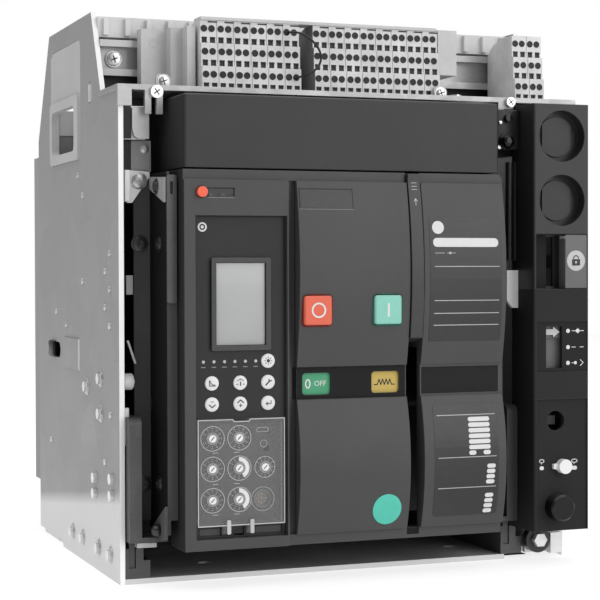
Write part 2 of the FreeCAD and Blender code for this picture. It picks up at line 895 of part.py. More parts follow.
def jumper_wire():
    """Thin wire along straight runs joined by tangent arcs."""
    points = [Vector(*[number(part) for part in point]) for point in wire_route()]
    edges = []
    start = points[0]
    for i in range(1, len(points) - 1):
        before = points[i] - points[i - 1]
        after = points[i + 1] - points[i]
        turn = before.getAngle(after)
        run = min(before.Length, after.Length)
        radius = 0.45 * run / math.tan(turn / 2)
        reach = radius * math.tan(turn / 2)
        inward = before.normalize()
        outward = after.normalize()
        first = points[i] - inward * reach
        last = points[i] + outward * reach
        bisector = (outward - inward).normalize()
        centre = points[i] + bisector * (radius / math.cos(turn / 2))
        middle = centre - bisector * radius
        edges.append(Part.LineSegment(start, first).toShape())
        edges.append(Part.Arc(first, middle, last).toShape())
        start = last
        print("jumper bend %d radius %.1f mm" % (i, radius))
    edges.append(Part.LineSegment(start, points[-1]).toShape())
    path = Part.Wire(edges)
    thickness = number(size.wire_diameter)
    way = (points[1] - points[0]).normalize()
    side = way.cross(Z_WAY).normalize()
    up = side.cross(way)
    corners = []
    for i in range(WIRE_SIDES):
        angle = 2 * math.pi * i / WIRE_SIDES
        corners.append(points[0] + (side * math.cos(angle) + up * math.sin(angle))
                       * (thickness / 2))
    profile = Part.makePolygon(corners + [corners[0]])
    tube = path.makePipeShell([profile], True, False)
    wire = doc.addObject("Part::Feature", "jumper_wire")
    wire.Label = "jumper_wire"
    wire.Shape = tube
    section = WIRE_SIDES / 8 * thickness ** 2 * math.sin(2 * math.pi / WIRE_SIDES)
    expected = section * path.Length
    print("jumper length %.1f mm, volume ratio %.4f" % (path.Length, tube.Volume / expected))
    solids.append(wire)


# Rear of the cradle

def rear_base():
    """Moulded insulating base: phase barriers behind, finger chambers and shutter guides in front."""
    base = Piece("rear_base")
    base.pad("XZ", behind(size.rear_base_front), behind(size.rear_base_back), rectangle(
        -inner, size.rear_base_bottom, inner, size.rear_base_top))
    half = (size.pole_pitch - size.pole_gap) / 2
    middle = (size.upper_level + size.lower_level) / 2
    rim = 7.0
    pockets = []
    for centre in pole_centres():
        pockets.append(rectangle(centre - half, size.rear_base_bottom + rim,
                                 centre + half, middle - rim))
        pockets.append(rectangle(centre - half, middle + rim,
                                 centre + half, size.rear_base_top - rim))
    base.cut("XZ", behind(size.rear_web_back), behind(size.rear_base_back), *pockets)
    side_left = axis_x - size.pole_pitch * 1.5 - size.pole_gap
    side_right = axis_x + size.pole_pitch * 1.5 + size.pole_gap
    base.cut("XZ", behind(size.rear_web_back), behind(size.rear_base_back),
             rectangle(-inner + rim, size.rear_base_bottom + rim, side_left,
                       size.rear_base_top - rim),
             rectangle(side_right, size.rear_base_bottom + rim, inner - rim,
                       size.rear_base_top - rim))
    hall = size.chamber_height / 2
    for level in LEVELS:
        base.pad("XZ", behind(size.chamber_front), behind(size.rear_base_front), rectangle(
            axis_x - size.shutter_width / 2 + 4.0, level - hall - size.chamber_wall,
            axis_x + size.shutter_width / 2 - 4.0, level + hall + size.chamber_wall))
    base.cut("XZ", behind(size.chamber_front), behind(size.rear_web_front), *[
        around(centre, level, half, hall) for centre in pole_centres() for level in LEVELS])
    slot_half = size.blade_width / 2 + size.contact_gap
    slot_rise = size.connector_thickness / 2 + size.contact_gap
    base.cut("XZ", behind(size.rear_web_front), behind(size.rear_web_back), *[
        around(centre, level, slot_half, slot_rise)
        for centre in pole_centres() for level in LEVELS])
    guide = 7.0
    groove_low = behind(size.shutter_front) - 0.3
    groove_high = behind(size.shutter_front) + size.shutter_groove - 0.3
    for side in SIDES:
        edge = axis_x + size.shutter_width / 2 * side
        near = edge - 3.0 * side
        far = edge + (guide - 3.0) * side
        low, high = (far, near) if side < 0 else (near, far)
        base.pad("XY", size.rear_base_bottom, size.rear_base_top, rectangle(
            low, groove_low - 3.0, high, behind(size.rear_base_front)))
        groove = edge + 0.4 * side
        low, high = (groove, near) if side < 0 else (near, groove)
        base.cut("XY", size.rear_base_bottom, size.rear_base_top, rectangle(
            low, groove_low, high, groove_high))
    return base


def rear_connectors():
    """Six flat copper bars through the rear base, each with two busbar holes."""
    bars = Piece("rear_connectors")
    half = size.blade_width / 2
    rise = size.connector_thickness / 2
    bars.pad("XZ", behind(size.connector_front), behind(size.connector_back), *[
        around(centre, level, half, rise) for centre in pole_centres() for level in LEVELS])
    place = behind(size.connector_back) - size.connector_bolt_inset
    bars.cut("XY", size.lower_level - rise, size.upper_level + rise, *[
        circle(centre + size.connector_bolt_pitch / 2 * side, place, size.connector_bolt_radius)
        for centre in pole_centres() for side in SIDES])
    return bars


def finger_clusters():
    """Sprung contact fingers: each pair bridges a connector and the breaker's blade."""
    fingers = Piece("finger_clusters")
    gap = size.contact_gap
    profiles = []
    for level in LEVELS:
        for side in SIDES:
            blade = level + (half_blade + gap) * side
            bar = level + (size.connector_thickness / 2 + gap) * side
            crest = bar + size.finger_height * side
            nose = behind(size.chamber_front) + 3.0
            tail = behind(size.connector_front) + 18.0
            profiles.append(outline(
                (nose, blade + 4.0 * side), (nose + 7.0, blade), (nose + 13.0, blade),
                (nose + 20.0, blade + 3.0 * side), (tail - 14.0, bar), (tail, bar),
                (tail, crest), (nose + 4.0, crest)))
    half = size.finger_width * 1.5 + size.finger_gap
    pitch = size.finger_width + size.finger_gap
    for centre in pole_centres():
        fingers.pad("YZ", centre - half, centre + half, *profiles)
    reach = size.connector_thickness + size.finger_height * 2
    gaps = []
    for centre in pole_centres():
        for step in (-0.5, 0.5):
            middle = centre + pitch * step
            gaps.append(rectangle(
                middle - size.finger_gap / 2, behind(size.chamber_front),
                middle + size.finger_gap / 2, behind(size.rear_web_front)))
    fingers.cut("XY", size.lower_level - reach, size.upper_level + reach, *gaps)
    return fingers


def shutter(label, level, side):
    """Insulating shutter that uncovers its row of blades; side is the way that it opens."""
    near = level + (half_blade + size.shutter_lift) * side
    far = near + size.shutter_height * side
    low, high = (near, far) if side > 0 else (far, near)
    plate = Piece(label)
    width = size.shutter_width / 2
    place = behind(size.shutter_front)
    plate.pad("XZ", place, place + size.shutter_thickness, rectangle(
        axis_x - width, low, axis_x + width, high))
    rib = 2.0
    middle = (low + high) / 2
    plate.pad("XZ", place - 2.2, place, *[
        rectangle(centre - 24.0, middle - rib, centre + 24.0, middle + rib)
        for centre in pole_centres()])
    return plate


# Pull-out rails

def extension_rail(label, side):
    """Deep steel rail with a tongue in the channel below and a ledge for the breaker's feet."""
    centre = rail_centre(side)
    rail = Piece(label)
    start = behind(size.slide_front)
    end = start + size.slide_length
    half = size.slide_width / 2
    rail.pad("XZ", start, end, rectangle(
        centre - half, size.slide_bottom, centre + half, size.slide_top))
    inside = centre - half * side
    tip = inside - size.ledge_width * side
    low, high = (inside, tip) if side < 0 else (tip, inside)
    rail.pad("XZ", start, end, rectangle(
        low, size.slide_bottom, high, size.slide_bottom + size.ledge_thickness))
    tongue = size.tongue_width / 2
    rail.pad("XZ", behind(1.0), end, rectangle(
        centre - tongue, size.sheet + size.guide_floor, centre + tongue, size.slide_bottom))
    corner = 4.0
    rail.fillet(corner, lambda edge: straight(edge, X_WAY)
                and abs(edge.CenterOfMass.z - number(size.slide_top)) < 0.01)
    return rail


# Racking module

def racking_housing():
    """Moulded racking module: lock wells, padlock bay, position window and crank field."""
    left = size.module_left
    right = outer
    face = front - size.module_depth
    wall = size.module_wall
    case = Piece("racking_housing")
    case.pad("XZ", face, front, rectangle(left, size.module_bottom, right, size.module_top))
    edge_radius = 1.2
    case.fillet(edge_radius, lambda edge: abs(edge.CenterOfMass.y - number(face)) < 0.01)
    well = size.lock_depth
    lock_levels = (size.lock_level_upper, size.lock_level_lower)
    case.cut("XZ", face, face + well, *[
        circle(size.lock_x, level, size.lock_radius) for level in lock_levels])
    case.pad("XZ", face + well - size.blank_proud, face + well, *[
        double_d(size.lock_x, level, size.blank_radius, size.blank_flat)
        for level in lock_levels])
    case.cut("XZ", face, face + size.bay_depth, rectangle(
        left + size.bay_wall, size.bay_bottom, right - 0.6, size.bay_top))
    panel_depth = 0.8
    case.cut("XZ", face, face + panel_depth, rectangle(
        left + 2.0, size.window_panel_bottom, right - 0.6, size.window_panel_top))
    case.cut("XZ", face, face + size.field_depth, rectangle(
        left + 1.9, size.module_bottom, right - 0.6, size.lower_field_top))
    deep = well + wall + 1.0
    bay_floor = size.bay_depth + wall
    case.cut("XZ", face + deep, front, rectangle(
        left + wall, size.bay_top + wall, right - wall, size.module_top - wall))
    case.cut("XZ", face + bay_floor, front, rectangle(
        left + wall, size.bay_bottom - wall, right - wall, size.bay_top))
    case.cut("XZ", face + size.field_depth + wall, front, rectangle(
        left + wall, size.module_bottom + wall, right - wall, size.bay_bottom - wall * 2))
    case.cut("XZ", face, face + size.field_depth + wall,
             rectangle(size.pointer_slot_left, size.pointer_slot_bottom,
                       size.pointer_slot_right, size.pointer_slot_top),
             circle(size.crank_x, size.crank_level, size.crank_radius),
             circle(size.selector_x, size.selector_level,
                    size.selector_radius * 0.7 + size.running_clearance * 2),
             circle(size.release_x, size.release_level, size.release_radius + 0.2))
    case.cut("XZ", face + size.bay_depth, face + bay_floor, rectangle(
        size.bay_slot_left, size.bay_bottom + 1.5, size.bay_slot_right, size.bay_top - 1.5),
        rectangle(size.bay_slot_right + 6.0, size.bay_bottom + 12.0,
                  size.bay_slot_right + 12.4, size.bay_top - 12.0))
    return case


def padlock_tab():
    """Pull-out tab whose eye takes the padlock shackles."""
    face = front - size.module_depth
    gap = 0.4
    head = 8.0
    left = size.tab_left
    right = outer - 0.6 - gap
    shank_left = size.bay_slot_right + 6.0 + gap
    shank_right = size.bay_slot_right + 12.4 - gap
    low = size.bay_bottom + 12.0 + gap
    high = size.bay_top - 12.0 - gap
    tab = Piece("padlock_tab")
    tab.pad("XZ", face + size.bay_depth - head - gap, face + size.bay_depth - gap, rectangle(
        left, size.bay_bottom + gap, right, size.bay_top - gap))
    tab.pad("XZ", face + size.bay_depth - gap, behind(8.0), rectangle(
        shank_left, low, shank_right, high))
    middle = (low + high) / 2
    tab.cut("YZ", shank_left, shank_right, oblong(
        face + size.bay_depth + size.module_wall + 7.0, middle, 9.0, 5.0))
    return tab


def position_pointer():
    """White arrow behind the slot of the position window."""
    place = front - size.module_depth + size.field_depth + size.module_wall + 0.3
    left = size.pointer_slot_left - 1.5
    tip = size.pointer_slot_right - 0.6
    level = size.pointer_slot_top - size.pointer_height / 2
    half = size.pointer_height / 2
    arrow = Piece("position_pointer")
    arrow.pad("XZ", place, place + 1.5, rectangle(
        left, level - half, size.pointer_slot_right + 1.5, level + half))
    arrow.pad("XZ", place - 1.2, place, outline(
        (left + 2.2, level - half * 0.5), (tip - 4.5, level - half * 0.5),
        (tip - 4.5, level - half * 0.9), (tip, level), (tip - 4.5, level + half * 0.9),
        (tip - 4.5, level + half * 0.5), (left + 2.2, level + half * 0.5)))
    return arrow


def racking_selector():
    """White selector knob with a pointer nose."""
    face = front - size.module_depth + size.field_depth
    knob = Piece("racking_selector")
    x, z = size.selector_x, size.selector_level
    nose = 6.8
    knob.pad("XZ", face - 5.0, face - 0.3, circle(x, z, size.selector_radius))
    knob.pad("XZ", face - 2.6, face - 0.3, outline(
        (x, z - 2.4), (x, z + 2.4), (x - nose, z + 1.4), (x - nose, z - 1.4)))
    knob.pad("XZ", face - 0.3, face + size.module_wall + 3.0,
             circle(x, z, size.selector_radius * 0.7))
    return knob


def release_button():
    """Round black push button that frees the racking positions."""
    face = front - size.module_depth + size.field_depth
    button = Piece("release_button")
    x, z = size.release_x, size.release_level
    button.pad("XZ", face - size.release_proud, face + size.module_wall + 4.0,
               circle(x, z, size.release_radius))
    bevel = 1.0
    button.chamfer(bevel, lambda edge: abs(
        edge.CenterOfMass.y - number(face - size.release_proud)) < 0.01)
    return button


def corner_bracket():
    """Bright corner bracket of the right plate with a dark bush and its hexagon bolt."""
    x = size.module_left + 14.6
    z = 11.5
    bush_radius = 8.0
    head_radius = 4.4
    bracket = Piece("corner_angle", kept=False)
    thick = size.sheet
    bracket.pad("XY", size.sheet, 19.0, outline(
        (x - 6.0, front), (inner, front), (inner, behind(18.0)), (inner - thick, behind(18.0)),
        (inner - thick, front + thick), (x - 6.0, front + thick)))
    bracket.pad("XZ", behind(-5.0), front, rectangle(x + 9.0, 2.4, x + 17.0, 15.0))
    bush = Piece("corner_bush", kept=False)
    bush.pad("XZ", behind(-6.0), front, circle(x, z, bush_radius))
    bolt = Piece("corner_bolt", kept=False)
    bolt.pad("XZ", behind(-9.5), behind(-6.0), hexagon(x, z, head_radius))
    return group("corner_bracket", [bracket, bush, bolt])


def racking_screw():
    """Lead screw with a square drive end behind the crank opening."""
    screw = Piece("racking_screw")
    x, z = size.crank_x, size.crank_level
    start = front - size.module_depth + size.field_depth + size.module_wall + 3.0
    drive = 14.0
    half = size.drive_square / 2
    screw.pad("XZ", start, start + drive, around(x, z, half, half))
    screw.pad("XZ", start + drive, behind(size.screw_end), circle(x, z, size.screw_radius))
    collar = size.screw_radius + 2.2
    screw.pad("XZ", start + drive, front + 1.7, circle(x, z, collar))
    return screw


def screw_bearings():
    """Two bearing blocks on the right side plate that carry the racking screw."""
    blocks = Piece("screw_bearings")
    x, z = size.crank_x, size.crank_level
    half = size.bearing_half
    bore = size.screw_radius + size.running_clearance
    for place in (2.0, size.screw_end - size.bearing_thickness - 1.0):
        low = behind(place)
        blocks.pad("XZ", low, low + size.bearing_thickness, outline(
            (x - half, z - half), (inner, z - half), (inner, z + half), (x - half, z + half)))
        blocks.cut("XZ", low, low + size.bearing_thickness, circle(x, z, bore))
    return blocks


def racking_carriage():
    """Nut on the racking screw, with an arm over the rail and a fork for the breaker's lug."""
    nut = Piece("racking_carriage")
    x, z = size.crank_x, size.crank_level
    half = size.bearing_half
    low = behind(size.carriage_place)
    high = low + size.carriage_length
    arm_low = size.slide_top + 1.5
    arm_high = arm_low + 6.0
    fork_left = axis_x + size.breaker_plate_half + 1.0
    fork_right = fork_left + 8.0
    nut.pad("XZ", low, high, rectangle(x - half, z - half, x + half, arm_high))
    nut.pad("XZ", low, high, rectangle(fork_left, arm_low, x + half, arm_high))
    slot = size.lug_radius + size.contact_gap
    mouth = low - 8.0
    lug_place = low + 2.8
    crown = size.lug_level + slot + 5.0
    nut.pad("YZ", fork_left, fork_right, outline(
        (mouth, arm_low), (high, arm_low), (high, crown), (mouth, crown),
        (mouth, size.lug_level + slot), (lug_place, size.lug_level + slot, -slot * 1.02),
        (lug_place, size.lug_level - slot), (mouth, size.lug_level - slot)))
    nut.cut("XZ", low, high, circle(x, z, size.screw_radius + size.running_clearance))
    return nut


# Breaker

def breaker_side_plates():
    """Black steel side plates of the breaker with their wings, feet and the racking lug."""
    plates = Piece("breaker_side_plates")
    bottom = size.breaker_plate_bottom
    top = size.breaker_plate_top
    thick = size.breaker_sheet
    foot_top = size.breaker_plate_bottom + 6.0
    foot_low = size.slide_bottom + size.ledge_thickness
    for side in SIDES:
        face = axis_x + size.breaker_plate_half * side
        skin = face - thick * side
        wing = face + size.wing_width * side
        lip = axis_x + (size.cover_half + size.contact_gap) * side
        low, high = (face, skin) if side < 0 else (skin, face)
        plates.pad("YZ", low, high, rectangle(
            behind(size.breaker_plate_front), bottom, behind(size.breaker_plate_back), top))
        low, high = (wing, face) if side < 0 else (face, wing)
        plates.pad("XZ", behind(size.wing_place), behind(size.wing_place) + thick, outline(
            (low, bottom + 4.0), (high, bottom + 4.0), (high, top), (low, top)))
        low, high = (skin, lip) if side < 0 else (lip, skin)
        plates.pad("XZ", behind(size.breaker_plate_front),
                   behind(size.breaker_plate_front) + thick, rectangle(
                       low, bottom + 8.0, high, top - 2.0))
        foot = face + (size.wing_width - 1.0) * side
        low, high = (foot, face) if side < 0 else (face, foot)
        for place in (size.wing_place + thick, size.breaker_plate_back - 25.0):
            plates.pad("XZ", behind(place), behind(place) + 18.0, rectangle(
                low, foot_low, high, foot_top))
    shaft = size.shaft_radius + size.running_clearance
    plates.cut("YZ", axis_x - size.breaker_plate_half, axis_x + size.breaker_plate_half,
               circle(behind(size.shaft_place), size.shaft_level, shaft))
    face = axis_x + size.breaker_plate_half
    plates.pad("YZ", face, face + 8.4, circle(
        behind(size.carriage_place) + 2.0, size.lug_level, size.lug_radius))
    return plates


def pole_housing():
    """Moulded pole housing: three arc chambers with blade slots, link windows and pivot bores."""
    housing = Piece("pole_housing")
    half = size.breaker_plate_half - size.breaker_sheet
    low = behind(size.housing_front)
    high = behind(size.housing_back)
    wall = size.housing_wall
    room = (size.pole_pitch - size.pole_gap) / 2
    housing.pad("XZ", low, high, rectangle(
        axis_x - half, size.housing_bottom, axis_x + half, size.housing_top))
    housing.cut("XY", size.housing_bottom + wall, size.housing_top, *[
        rectangle(centre - room, low + wall, centre + room, high - wall)
        for centre in pole_centres()])
    housing.cut("XZ", high - wall, high, *[
        around(centre, level, size.blade_width / 2 + 0.1, half_blade + 0.1)
        for centre in pole_centres() for level in LEVELS])
    window = 8.5
    housing.cut("XZ", low, low + wall, *[
        rectangle(centre - window, size.shaft_level - 2.0, centre + window,
                  size.shaft_level + 42.0)
        for centre in pole_centres()])
    housing.cut("YZ", axis_x - half, axis_x + half, circle(
        behind(size.pivot_place), size.pivot_level, size.pivot_radius + 0.05))
    return housing


def arc_chutes():
    """Three arc chutes with open slots along their top, each on a flange over its chamber."""
    chutes = Piece("arc_chutes")
    flange = size.chute_half + 0.9
    for centre in pole_centres():
        chutes.pad("XY", size.chute_bottom, size.case_top - 0.4, rectangle(
            centre - size.chute_half, behind(size.chute_front),
            centre + size.chute_half, behind(size.chute_back)))
        chutes.pad("XY", size.housing_top, size.housing_top + 3.0, rectangle(
            centre - flange, behind(size.housing_front) + 1.0,
            centre + flange, behind(size.housing_back) - size.case_wall - 0.1))
    slots = []
    count = 7
    pitch = 10.0
    for centre in pole_centres():
        for i in range(count):
            place = behind(size.chute_front) + 7.0 + pitch * i
            slots.append(rectangle(centre - size.chute_half + 4.0, place,
                                   centre + size.chute_half - 4.0, place + 4.5))
    chutes.cut("XY", size.case_top - 18.0, size.case_top - 0.4, *slots)
    return chutes


def top_case():
    """Upper case of the breaker: the plain dark panel of the front and a frame for the chutes."""
    case = Piece("top_case")
    low = behind(size.cover_front)
    high = behind(size.housing_back)
    wall = size.case_wall
    half = size.case_half
    case.pad("XY", size.housing_top, size.case_top, rectangle(
        axis_x - half, low, axis_x + half, high))
    edge_radius = 1.5
    case.fillet(edge_radius, lambda edge: straight(edge, Z_WAY)
                or abs(edge.CenterOfMass.z - number(size.case_top)) < 0.01)
    case.cut("XY", size.housing_top, size.case_top - wall, rectangle(
        axis_x - half + wall, low + wall, axis_x + half - wall, high - wall))
    case.cut("XY", size.case_top - wall, size.case_top, *[
        around(centre, behind((size.chute_front + size.chute_back) / 2),
               size.chute_half + size.contact_gap,
               (size.chute_back - size.chute_front) / 2 + size.contact_gap)
        for centre in pole_centres()])
    return case


def main_blades():
    """Upper and lower copper blades with the fixed contacts."""
    blades = Piece("main_blades")
    half = size.blade_width / 2
    start = behind(size.fixed_contact_front)
    blades.pad("XZ", start, behind(size.blade_back), *[
        around(centre, size.upper_level, half, half_blade) for centre in pole_centres()])
    blades.pad("XZ", start, start + 9.0, *[
        rectangle(centre - size.arm_half, size.upper_level - 14.0,
                  centre + size.arm_half, size.upper_level - half_blade)
        for centre in pole_centres()])
    blades.pad("XZ", behind(size.pivot_place) + 12.0, behind(size.blade_back), *[
        around(centre, size.lower_level, half, half_blade) for centre in pole_centres()])
    bevel = 1.5
    blades.chamfer(bevel, lambda edge: straight(edge, X_WAY) and abs(
        edge.CenterOfMass.y - number(behind(size.blade_back))) < 0.01)
    return blades


def moving_contacts():
    """Contact arms on their pivot rod, drawn open, each with a silver pad at its tip."""
    arms = Piece("moving_contacts")
    y = behind(size.pivot_place)
    tip = size.upper_level + 2.0
    bore = size.pivot_radius + size.running_clearance + 0.02
    for centre in pole_centres():
        low, high = centre - size.arm_half, centre + size.arm_half
        arms.pad("YZ", low, high, outline(
            (y - 6.0, size.pivot_level - 8.0), (y + 8.0, size.pivot_level - 8.0),
            (y + 8.0, size.lower_level + 60.0), (y + 5.0, tip), (y - 2.0, tip),
            (y - 6.0, tip - 30.0)))
        arms.pad("YZ", low + 2.0, high - 2.0, rectangle(
            y + 5.0, size.upper_level - 13.0, y + 8.0, size.upper_level))
    arms.cut("YZ", axis_x - size.breaker_plate_half, axis_x + size.breaker_plate_half,
             circle(y, size.pivot_level, bore))
    return arms


def contact_pivot_rod():
    """Steel rod through the walls of the pole housing."""
    rod = Piece("contact_pivot_rod")
    half = size.breaker_plate_half - size.breaker_sheet
    rod.pad("YZ", axis_x - half, axis_x + half, circle(
        behind(size.pivot_place), size.pivot_level, size.pivot_radius))
    return rod


def pole_shaft():
    """Cross shaft with one crank for each pole; the crank's roller meets the contact arm."""
    shaft = Piece("pole_shaft")
    y, z = behind(size.shaft_place), size.shaft_level
    shaft.pad("YZ", axis_x - size.breaker_plate_half, axis_x + size.breaker_plate_half,
              circle(y, z, size.shaft_radius))
    roller = 4.0
    tip_y = behind(size.pivot_place) - 6.0 - roller - 1.0
    tip_z = z + 34.0
    for centre in pole_centres():
        shaft.pad("YZ", centre - 6.0, centre + 6.0, outline(
            (y - 6.0, z + 4.0), (y + 4.0, z - 5.0), (tip_y + 2.0, tip_z - 3.0),
            (tip_y - 3.0, tip_z + 3.5)))
        shaft.pad("YZ", centre - 6.0, centre + 6.0, circle(tip_y, tip_z, roller))
    return shaft


def mechanism_frame():
    """Two steel plates between the pole housing and the front cover, with three spacers."""
    frame = Piece("mechanism_frame")
    low = behind(size.cover_back)
    high = behind(size.housing_front)
    left = axis_x + size.frame_left
    right = axis_x + size.frame_right
    shaft = size.shaft_radius + size.running_clearance
    charge = size.charge_shaft_radius + size.running_clearance
    for start in (left, right):
        frame.pad("YZ", start, start + size.frame_sheet, rectangle(low, 60.0, high, 215.0))
        frame.cut("YZ", start, start + size.frame_sheet,
                  circle(behind(size.shaft_place), size.shaft_level, shaft),
                  circle(behind(size.charge_shaft_place), size.charge_shaft_level, charge))
    spacer = 4.0
    frame.pad("YZ", left + size.frame_sheet, right,
              hexagon(behind(20.0), 68.0, spacer), hexagon(behind(20.0), 206.0, spacer),
              hexagon(behind(-1.0), 206.0, spacer))
    depth = size.spring_radius + 2.5
    place = behind(size.spring_place)
    low, high = spring_seats()
    for level in (low - size.frame_sheet, high):
        frame.pad("XY", level, level + size.frame_sheet, rectangle(
            left + size.frame_sheet, place - depth, right, place + depth))
    return frame


def spring_seats():
    """Levels of the two faces that hold the closing spring."""
    height = size.spring_pitch * SPRING_TURNS + size.spring_wire * 1.05 + size.contact_gap * 2
    return size.spring_level, size.spring_level + height


def charge_shaft():
    """Charging shaft with its spring cam and the toothed ratchet wheel beside the handle."""
    shaft = Piece("charge_shaft")
    y, z = behind(size.charge_shaft_place), size.charge_shaft_level
    left = axis_x + size.frame_left
    right = axis_x + size.frame_right
    wheel = right + size.frame_sheet + 2.0
    shaft.pad("YZ", left - 2.0, wheel + 9.0, circle(y, z, size.charge_shaft_radius))
    shaft.pad("YZ", left + 12.0, left + 24.0, outline(
        (y, z - 9.0, 9.2), (y, z + 9.0), (y - 5.0, z + 12.5), (y - 9.0, z + 9.0),
        (y - 11.0, z)))
    teeth = 16
    corners = []
    for i in range(teeth):
        start = 2 * math.pi * i / teeth
        end = 2 * math.pi * (i + 0.9) / teeth
        root = size.ratchet_radius - 2.6
        corners.append((y + root * math.cos(start), z + root * math.sin(start)))
        corners.append((y + size.ratchet_radius * math.cos(end),
                        z + size.ratchet_radius * math.sin(end)))
    shaft.pad("YZ", wheel, wheel + 6.0, outline(*corners))
    return shaft


def closing_spring():
    """Square-wire closing spring between the seats of the mechanism frame, coiled in chords."""
    half = number(size.spring_wire) / 2
    radius = number(size.spring_radius)
    centre = Vector(number(axis_x + (size.frame_left + size.frame_right + size.frame_sheet) / 2),
                    number(behind(size.spring_place)),
                    number(spring_seats()[0] + size.contact_gap) + half)
    points = []
    for step in range(CHORDS * SPRING_TURNS + 1):
        angle = 2 * math.pi * step / CHORDS
        rise = number(size.spring_pitch) * step / CHORDS
        points.append(centre + Vector(radius * math.cos(angle), radius * math.sin(angle), rise))
    way = (points[1] - points[0]).normalize()
    up = way.cross(X_WAY).normalize()
    side = up.cross(way).normalize()
    corners = [points[0] + side * (half * i) + up * (half * j)
               for i, j in ((-1, -1), (1, -1), (1, 1), (-1, 1))]
    profile = Part.makePolygon(corners + [corners[0]])
    spring = doc.addObject("Part::Feature", "closing_spring")
    spring.Label = "closing_spring"
    spring.Shape = Part.makePolygon(points).makePipeShell([profile], True, False, 1)
    solids.append(spring)


def current_transformers():
    """Rectangular ring cores round the lower blades."""
    rings = Piece("current_transformers")
    start = behind(size.housing_back) - size.housing_wall - 16.0
    half = (size.pole_pitch - size.pole_gap) / 2 - 0.5
    for centre in pole_centres():
        rings.pad("XZ", start, start + 16.0, around(centre, size.lower_level, half, 27.0))
        rings.cut("XZ", start, start + 16.0, around(
            centre, size.lower_level, size.blade_width / 2 + 0.4, half_blade + 0.4))
    return rings


# Front cover and what is on it

def bulge_radius(chord):
    """Radius of an arc over a chord with the panels' bulge."""
    rise = size.panel_bulge
    return (chord * chord / 4 + rise * rise) / (rise * 2)


def panel_outline():
    """Side view of a bulging panel: two crowned halves and the flat band between them."""
    base = behind(size.cover_front)
    face = base - size.panel_rise
    band = base - size.band_rise
    lower = bulge_radius(size.band_bottom - size.panel_bottom)
    upper = bulge_radius(size.panel_top - size.band_top)
    return outline(
        (base, size.panel_bottom), (base, size.panel_top), (face, size.panel_top, upper),
        (face, size.band_top), (band, size.band_top), (band, size.band_bottom),
        (face, size.band_bottom, lower), (face, size.panel_bottom))


def front_cover():
    """Moulded front cover: flat left panel, two bulging panels and openings for the controls."""
    cover = Piece("front_cover")
    base = behind(size.cover_front)
    rear = behind(size.cover_back)
    inside = base + size.cover_wall
    left = axis_x - size.cover_half
    right = axis_x + size.cover_half
    cover.pad("XZ", base, rear, rectangle(left, size.cover_bottom, right, size.cover_top))
    cover.pad("XZ", base - size.panel_rise, base, rectangle(
        left, size.cover_bottom, size.left_panel_right, size.panel_top))
    cover.pad("YZ", size.centre_panel_left, size.centre_panel_right, panel_outline())
    cover.pad("YZ", size.right_panel_left, right, panel_outline())
    cover.cut("XZ", inside, rear, rectangle(
        left + size.cover_wall, size.cover_bottom + size.cover_wall,
        right - size.cover_wall, size.cover_top - size.cover_wall))
    gap = size.trip_clearance
    groove_depth = 2.0
    cover.cut("XZ", base, base + groove_depth, rectangle(
        size.left_panel_right, size.panel_bottom, size.centre_panel_left, size.panel_top))
    cover.cut("XZ", base - size.panel_rise, inside, rectangle(
        size.trip_left - gap, size.trip_bottom - gap, size.trip_right + gap,
        size.trip_top + gap))
    cover.cut("XZ", base, inside, rectangle(
        size.centre_panel_right, size.panel_bottom, size.right_panel_left, size.cover_top))
    well = size.button_side / 2 + size.button_clearance
    corner = 2.0
    deep = size.panel_rise + size.panel_bulge + 1.0
    for x in (size.off_x, size.on_x):
        cover.cut("XZ", base - deep, inside, round_rectangle(
            x - well, size.button_level - well, x + well, size.button_level + well, corner))
    wide = size.flag_width / 2
    tall = size.flag_height / 2
    flag_wall = 1.2
    for x in (size.status_x, size.charged_x):
        cover.cut("XZ", base - size.band_rise, inside, round_rectangle(
            x - wide, size.flag_level - tall, x + wide, size.flag_level + tall, corner))
        cover.cut("XZ", base - size.band_rise + flag_wall, inside, rectangle(
            x - wide - 2.0, size.flag_level - tall - size.flag_travel - 2.5,
            x + wide + 2.0, size.flag_level + tall + size.flag_travel + 2.5))
    cover.cut("XZ", base - size.panel_rise, inside, circle(
        size.reset_x, size.reset_level, size.reset_radius + 0.3))
    plate_depth = 0.5
    cover.cut("XZ", base - size.panel_rise, base - size.panel_rise + plate_depth, rectangle(
        size.reset_x + 3.4, size.reset_level - 2.3, size.reset_x + 19.0,
        size.reset_level + 2.3))
    ear = 2.8
    pivot_y = behind(size.handle_pivot_place)
    pivot_z = size.handle_pivot_level
    gap = (size.right_panel_left - size.centre_panel_right - size.handle_width) / 2
    bore = size.handle_pin_radius + size.running_clearance
    for low, high in ((size.centre_panel_right - ear, size.centre_panel_right),
                      (size.right_panel_left, size.right_panel_left + ear)):
        cover.pad("XZ", inside, pivot_y + 8.0, rectangle(
            low, pivot_z - 8.0, high, pivot_z + 8.0))
        cover.cut("YZ", low, high, circle(pivot_y, pivot_z, bore))
    return cover


